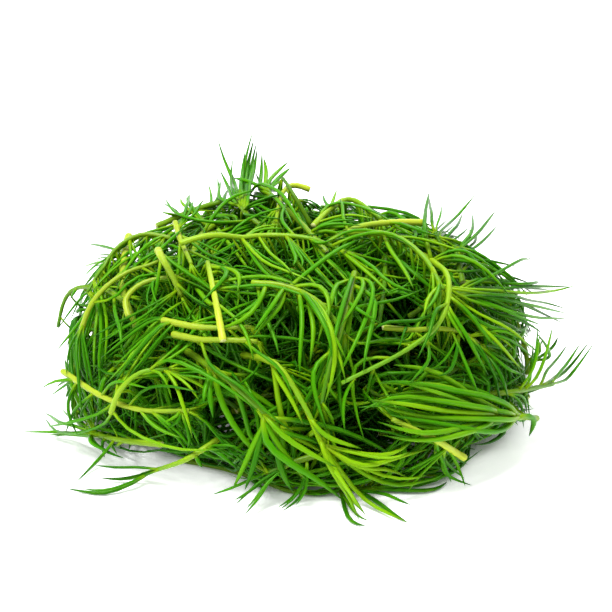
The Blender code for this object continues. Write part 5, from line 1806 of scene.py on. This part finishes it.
@dataclass(frozen=True)
class Stage:
    """The pale floor, the soft light and the camera."""

    camera_away: float = 1.8
    sensor: float = 36
    sight: tuple[float, float] = (0.05, 20)
    pixel: float = 0.3 * MM
    picture: int = 612
    aim_right: float = 1.8 * MM
    aim_up: float = 28.2 * MM
    floor_size: float = 8
    # The floor's painted glow, and the ambient occlusion span and reach that dim it beneath the heap
    floor_painted_glow: float = 0.6
    shadow_span: Span = (0.15, 0.5)
    shadow_reach: float = 14 * MM
    sky: float = 0.6
    lamp_aim: float = 30 * MM
    lamps: tuple[Lamp, ...] = (Lamp("key_lamp", (-0.3, -0.2, 1.1), 0.5, 20),
                               Lamp("back_lamp", (0.3, 0.9, 0.9), 0.8, 6))

    def floor(self) -> None:
        """Lay a wide pale floor that is no part of the heap. It glows as painted light that washes out the
        heap's cast shadows, and glows less where the heap occludes it.
        """
        bpy.ops.object.select_all(action="DESELECT")
        bpy.ops.mesh.primitive_plane_add(size=self.floor_size, location=(0, 0, 0))
        plane = bpy.context.object
        plane.name = "floor"
        sketch = NodeSketch("floor_white")
        # Painted light: the floor glows, less where the heap occludes it, which lightens the shadows around
        # the heap's foot
        sky = sketch.add("ShaderNodeAmbientOcclusion", {"samples": 8}, {"Distance": self.shadow_reach})
        glow = Value(sketch, sky.outputs["AO"]).span(*self.shadow_span)
        plane.data.materials.append(sketch.finish({
            "Base Color": (0.9, 0.9, 0.9, 1), "Emission Color": glow, "Emission Strength": self.floor_painted_glow,
            "Roughness": 0.8, "Specular IOR Level": 0.1,
        }))

    def hang(self, lamp: Lamp) -> None:
        """Hang a soft square lamp that faces the heap."""
        data = bpy.data.lights.new(lamp.name, "AREA")
        data.size = lamp.size
        data.energy = lamp.power
        thing = bpy.data.objects.new(lamp.name, data)
        thing.location = lamp.spot
        aim = Vector((0, 0, self.lamp_aim)) - Vector(lamp.spot)
        thing.rotation_mode = "QUATERNION"
        thing.rotation_quaternion = aim.to_track_quat("-Z", "Y")
        bpy.context.scene.collection.objects.link(thing)

    def light(self) -> None:
        """Light the heap as in a white studio: softly from above and all round."""
        world = bpy.data.worlds.new("studio")
        world.use_nodes = True
        background = world.node_tree.nodes["Background"]
        background.inputs["Color"].default_value = (1, 1, 1, 1)
        background.inputs["Strength"].default_value = self.sky
        bpy.context.scene.world = world
        for lamp in self.lamps:
            self.hang(lamp)
        bpy.context.scene.view_settings.view_transform = "Standard"

    def camera(self) -> None:
        """Set the camera where the photo was taken from, a little above the front of the heap."""
        up = Vector((0, math.sin(SIGHT_ANGLE), math.cos(SIGHT_ANGLE)))
        toward = Vector((0, -math.cos(SIGHT_ANGLE), math.sin(SIGHT_ANGLE)))
        aim = Vector((self.aim_right, 0, 0)) + up * self.aim_up - OUTLINE_SHIFT
        data = bpy.data.cameras.new("camera")
        data.sensor_width = self.sensor
        data.lens = self.sensor * self.camera_away / (self.picture * self.pixel)
        data.clip_start, data.clip_end = self.sight
        thing = bpy.data.objects.new("camera", data)
        thing.location = aim + toward * self.camera_away
        thing.rotation_euler = (math.pi / 2 - SIGHT_ANGLE, 0, 0)
        bpy.context.scene.collection.objects.link(thing)
        bpy.context.scene.camera = thing


# The outlines of the strands: how far up each ring is, and its radius
LEAF_RINGS = (
    (0, 0.95), (0.08, 0.85), (0.22, 0.97), (0.38, 1.0), (0.54, 1.0), (0.7, 0.88), (0.84, 0.66),
    (0.94, 0.38), (1, 0.1),
)
LONG_LEAF_RINGS = (
    (0, 0.95), (0.05, 0.85), (0.12, 0.92), (0.2, 1.0), (0.3, 1.0), (0.4, 1.0), (0.5, 1.0), (0.6, 0.95),
    (0.7, 0.87), (0.79, 0.75), (0.87, 0.58), (0.94, 0.36), (1, 0.1),
)
SHORT_LEAF_RINGS = ((0, 1.0), (0.25, 1.0), (0.55, 0.9), (0.8, 0.6), (0.94, 0.34), (1, 0.12))
# A stem is cut square with a fine bevel, tapers by a share, and swells a little in waves
STEM_BEVEL = ((0, 0.9), (0.006, 1.0))
STEM_RINGS = 28
STEM_TAPER = 0.35
STEM_SWELL = 0.06
STEM_WAVE = 2.1

# Which model a leaf is a copy of
LONG_LEAF = 40 * MM
SHORT_LEAF = 15 * MM
HIDDEN_LEVEL = 0.72
# How leaves differ in tone within a sprig, and how much painted shade darkens them beneath the surface of the
# mound
TONE_SHAKE = 0.3
PAINTED_SHADE_LEVEL = 0.95
PAINTED_DEPTH_SHADE = 2.0

# The bake map's strips, one for each leaf and wider for the stem, and the edges left between them
STEM_STRIPS = 3
STEM_EDGE = 0.002
LEAF_EDGE = 0.0005

# How many small sprigs are tried all over, inside and at the foot
FILL_TRIES = 90
INSIDE_TRIES = 120
FOOT_TRIES = 40


class Romeritos:
    """The whole heap, from its layout to its dressed pieces."""

    def __init__(self) -> None:
        """Model the strands and mix the finishes."""
        self.leaf = StrandModel("leaf", 6, LEAF_RINGS, flatness=0.65)
        self.long_leaf = StrandModel("long_leaf", 6, LONG_LEAF_RINGS, flatness=0.65)
        self.short_leaf = StrandModel("short_leaf", 5, SHORT_LEAF_RINGS, flatness=0.75)
        self.stem = StrandModel("stem", 12, (*STEM_BEVEL, *self.stem_rings()), fluting=0.07)
        for model in (self.leaf, self.long_leaf, self.short_leaf, self.stem):
            model.build()
        self.leaf_finish = LeafFinish().make()
        self.cut_finish = CutFinish().make()
        self.stem_finish = {
            Kind.GREEN: StemFinish("green_stem", (0.26, 0.42, 0.008), (0.09, 0.28, 0.003), (0.18, 0.36, 0.01),
                                   (0.035, 0.13, 0.001)).make(),
            Kind.YELLOW: StemFinish("yellow_stem", (0.46, 0.54, 0.03), (0.20, 0.36, 0.01), (0.28, 0.42, 0.03),
                                    (0.17, 0.28, 0.006)).make(),
        }
        self.growth = Growth()

    @staticmethod
    def stem_rings() -> list[tuple[float, float]]:
        """Return the rings of a stem above its bevel."""
        rings = []
        for k in range(1, STEM_RINGS + 1):
            swell = 1 + STEM_SWELL * math.sin(STEM_WAVE * k)
            rings.append((k / STEM_RINGS, (1 - STEM_TAPER * k / STEM_RINGS) * swell))
        return rings

    def lay_out(self) -> None:
        """Lay the construction's sprigs, clad them, then fill the gaps with smaller ones."""
        self.growth.lay_skeleton()
        self.growth.lay_seen(COAT)
        for sprig in list(self.growth.sprigs):
            self.growth.clad(sprig, COAT)
        self.growth.fill(FILL_TRIES)
        self.growth.fill_inside(INSIDE_TRIES)
        self.growth.fill_foot(FOOT_TRIES)

    def dress(self, sprig: Sprig, index: int) -> bpy.types.Object:
        """Build the piece of one sprig.

        Args:
            sprig: The sprig with all its leaves.
            index: Its place among the sprigs.

        Returns:
            The piece.
        """
        dice = random.Random(sprig.name + " tone")
        habit = self.growth.habit(sprig)
        strips = len(sprig.leaves) + STEM_STRIPS
        strip = (STEM_EDGE, STEM_STRIPS / strips - STEM_EDGE)
        stem = self.stem.bent(self.centred(sprig.stem), sprig.radius, strip, habit.stem_tone)
        stem.data.materials.append(self.stem_finish[habit.kind])
        stem.data.materials.append(self.cut_finish)
        strands = [stem]
        for k, leaf in enumerate(sprig.leaves, STEM_STRIPS):
            strip = (k / strips + LEAF_EDGE, (k + 1) / strips - LEAF_EDGE)
            strands.append(self.dressed_leaf(leaf, habit, strip, dice))
        piece = self.joined(strands, f"{sprig.name}_leafy")
        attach(piece, "root")
        if index < self.growth.skeleton:
            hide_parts(sprig.name)
        LOG.info("%s: %d leaves, %d faces", piece.name, len(sprig.leaves), len(piece.data.polygons))
        return piece

    def dressed_leaf(self, leaf: Leaf, habit: Habit, strip: tuple[float, float],
                     dice: random.Random) -> bpy.types.Object:
        """Return one leaf, toned by its sprig's mood and darkened by painted shade the deeper in the heap it
        lies.

        Args:
            leaf: The leaf.
            habit: The looks of its sprig.
            strip: The left and right edge of its strip of the texture.
            dice: The sprig's random numbers.

        Returns:
            The leaf's object.
        """
        path = self.centred(leaf.path)
        level = self.growth.mound.level(leaf.path.at(leaf.path.length / 2))
        model = self.long_leaf if path.length > LONG_LEAF else self.leaf
        if path.length < SHORT_LEAF or level < HIDDEN_LEVEL:
            model = self.short_leaf
        # Painted shade: the deeper a leaf lies beneath the mound's surface, the darker its tone
        tone = habit.mood + dice.uniform(-TONE_SHAKE, TONE_SHAKE) - PAINTED_DEPTH_SHADE * max(0, PAINTED_SHADE_LEVEL - level)
        thing = model.bent(path, leaf.radius, strip, min(max(tone, 0), 1))
        thing.data.materials.append(self.leaf_finish)
        thing.data.polygons.foreach_set("material_index", [0] * len(thing.data.polygons))
        return thing

    @staticmethod
    def centred(path: Path) -> Path:
        """Return a path moved from the mound's middle to the outline's."""
        return Path([p - OUTLINE_SHIFT for p in path.points])

    @staticmethod
    def joined(strands: list[bpy.types.Object], name: str) -> bpy.types.Object:
        """Join a sprig's strands in one piece."""
        for strand in strands:
            bpy.context.scene.collection.objects.link(strand)
        with bpy.context.temp_override(active_object=strands[0], object=strands[0],
                                       selected_objects=strands, selected_editable_objects=strands):
            bpy.ops.object.join()
        strands[0].name = name
        strands[0].data.name = name
        return strands[0]


def main() -> None:
    """Set the stage, then build the heap sprig by sprig."""
    logging.basicConfig(level=logging.INFO, format="%(message)s")
    stage = Stage()
    stage.camera()
    stage.light()
    stage.floor()
    herb = Romeritos()
    herb.lay_out()
    LOG.info("laid out %d sprigs", len(herb.growth.sprigs))
    faces = 0
    for index, sprig in enumerate(herb.growth.sprigs):
        faces += len(herb.dress(sprig, index).data.polygons)
    LOG.info("%d sprigs, %d faces", len(herb.growth.sprigs), faces)


if __name__ == "__main__":
    main()
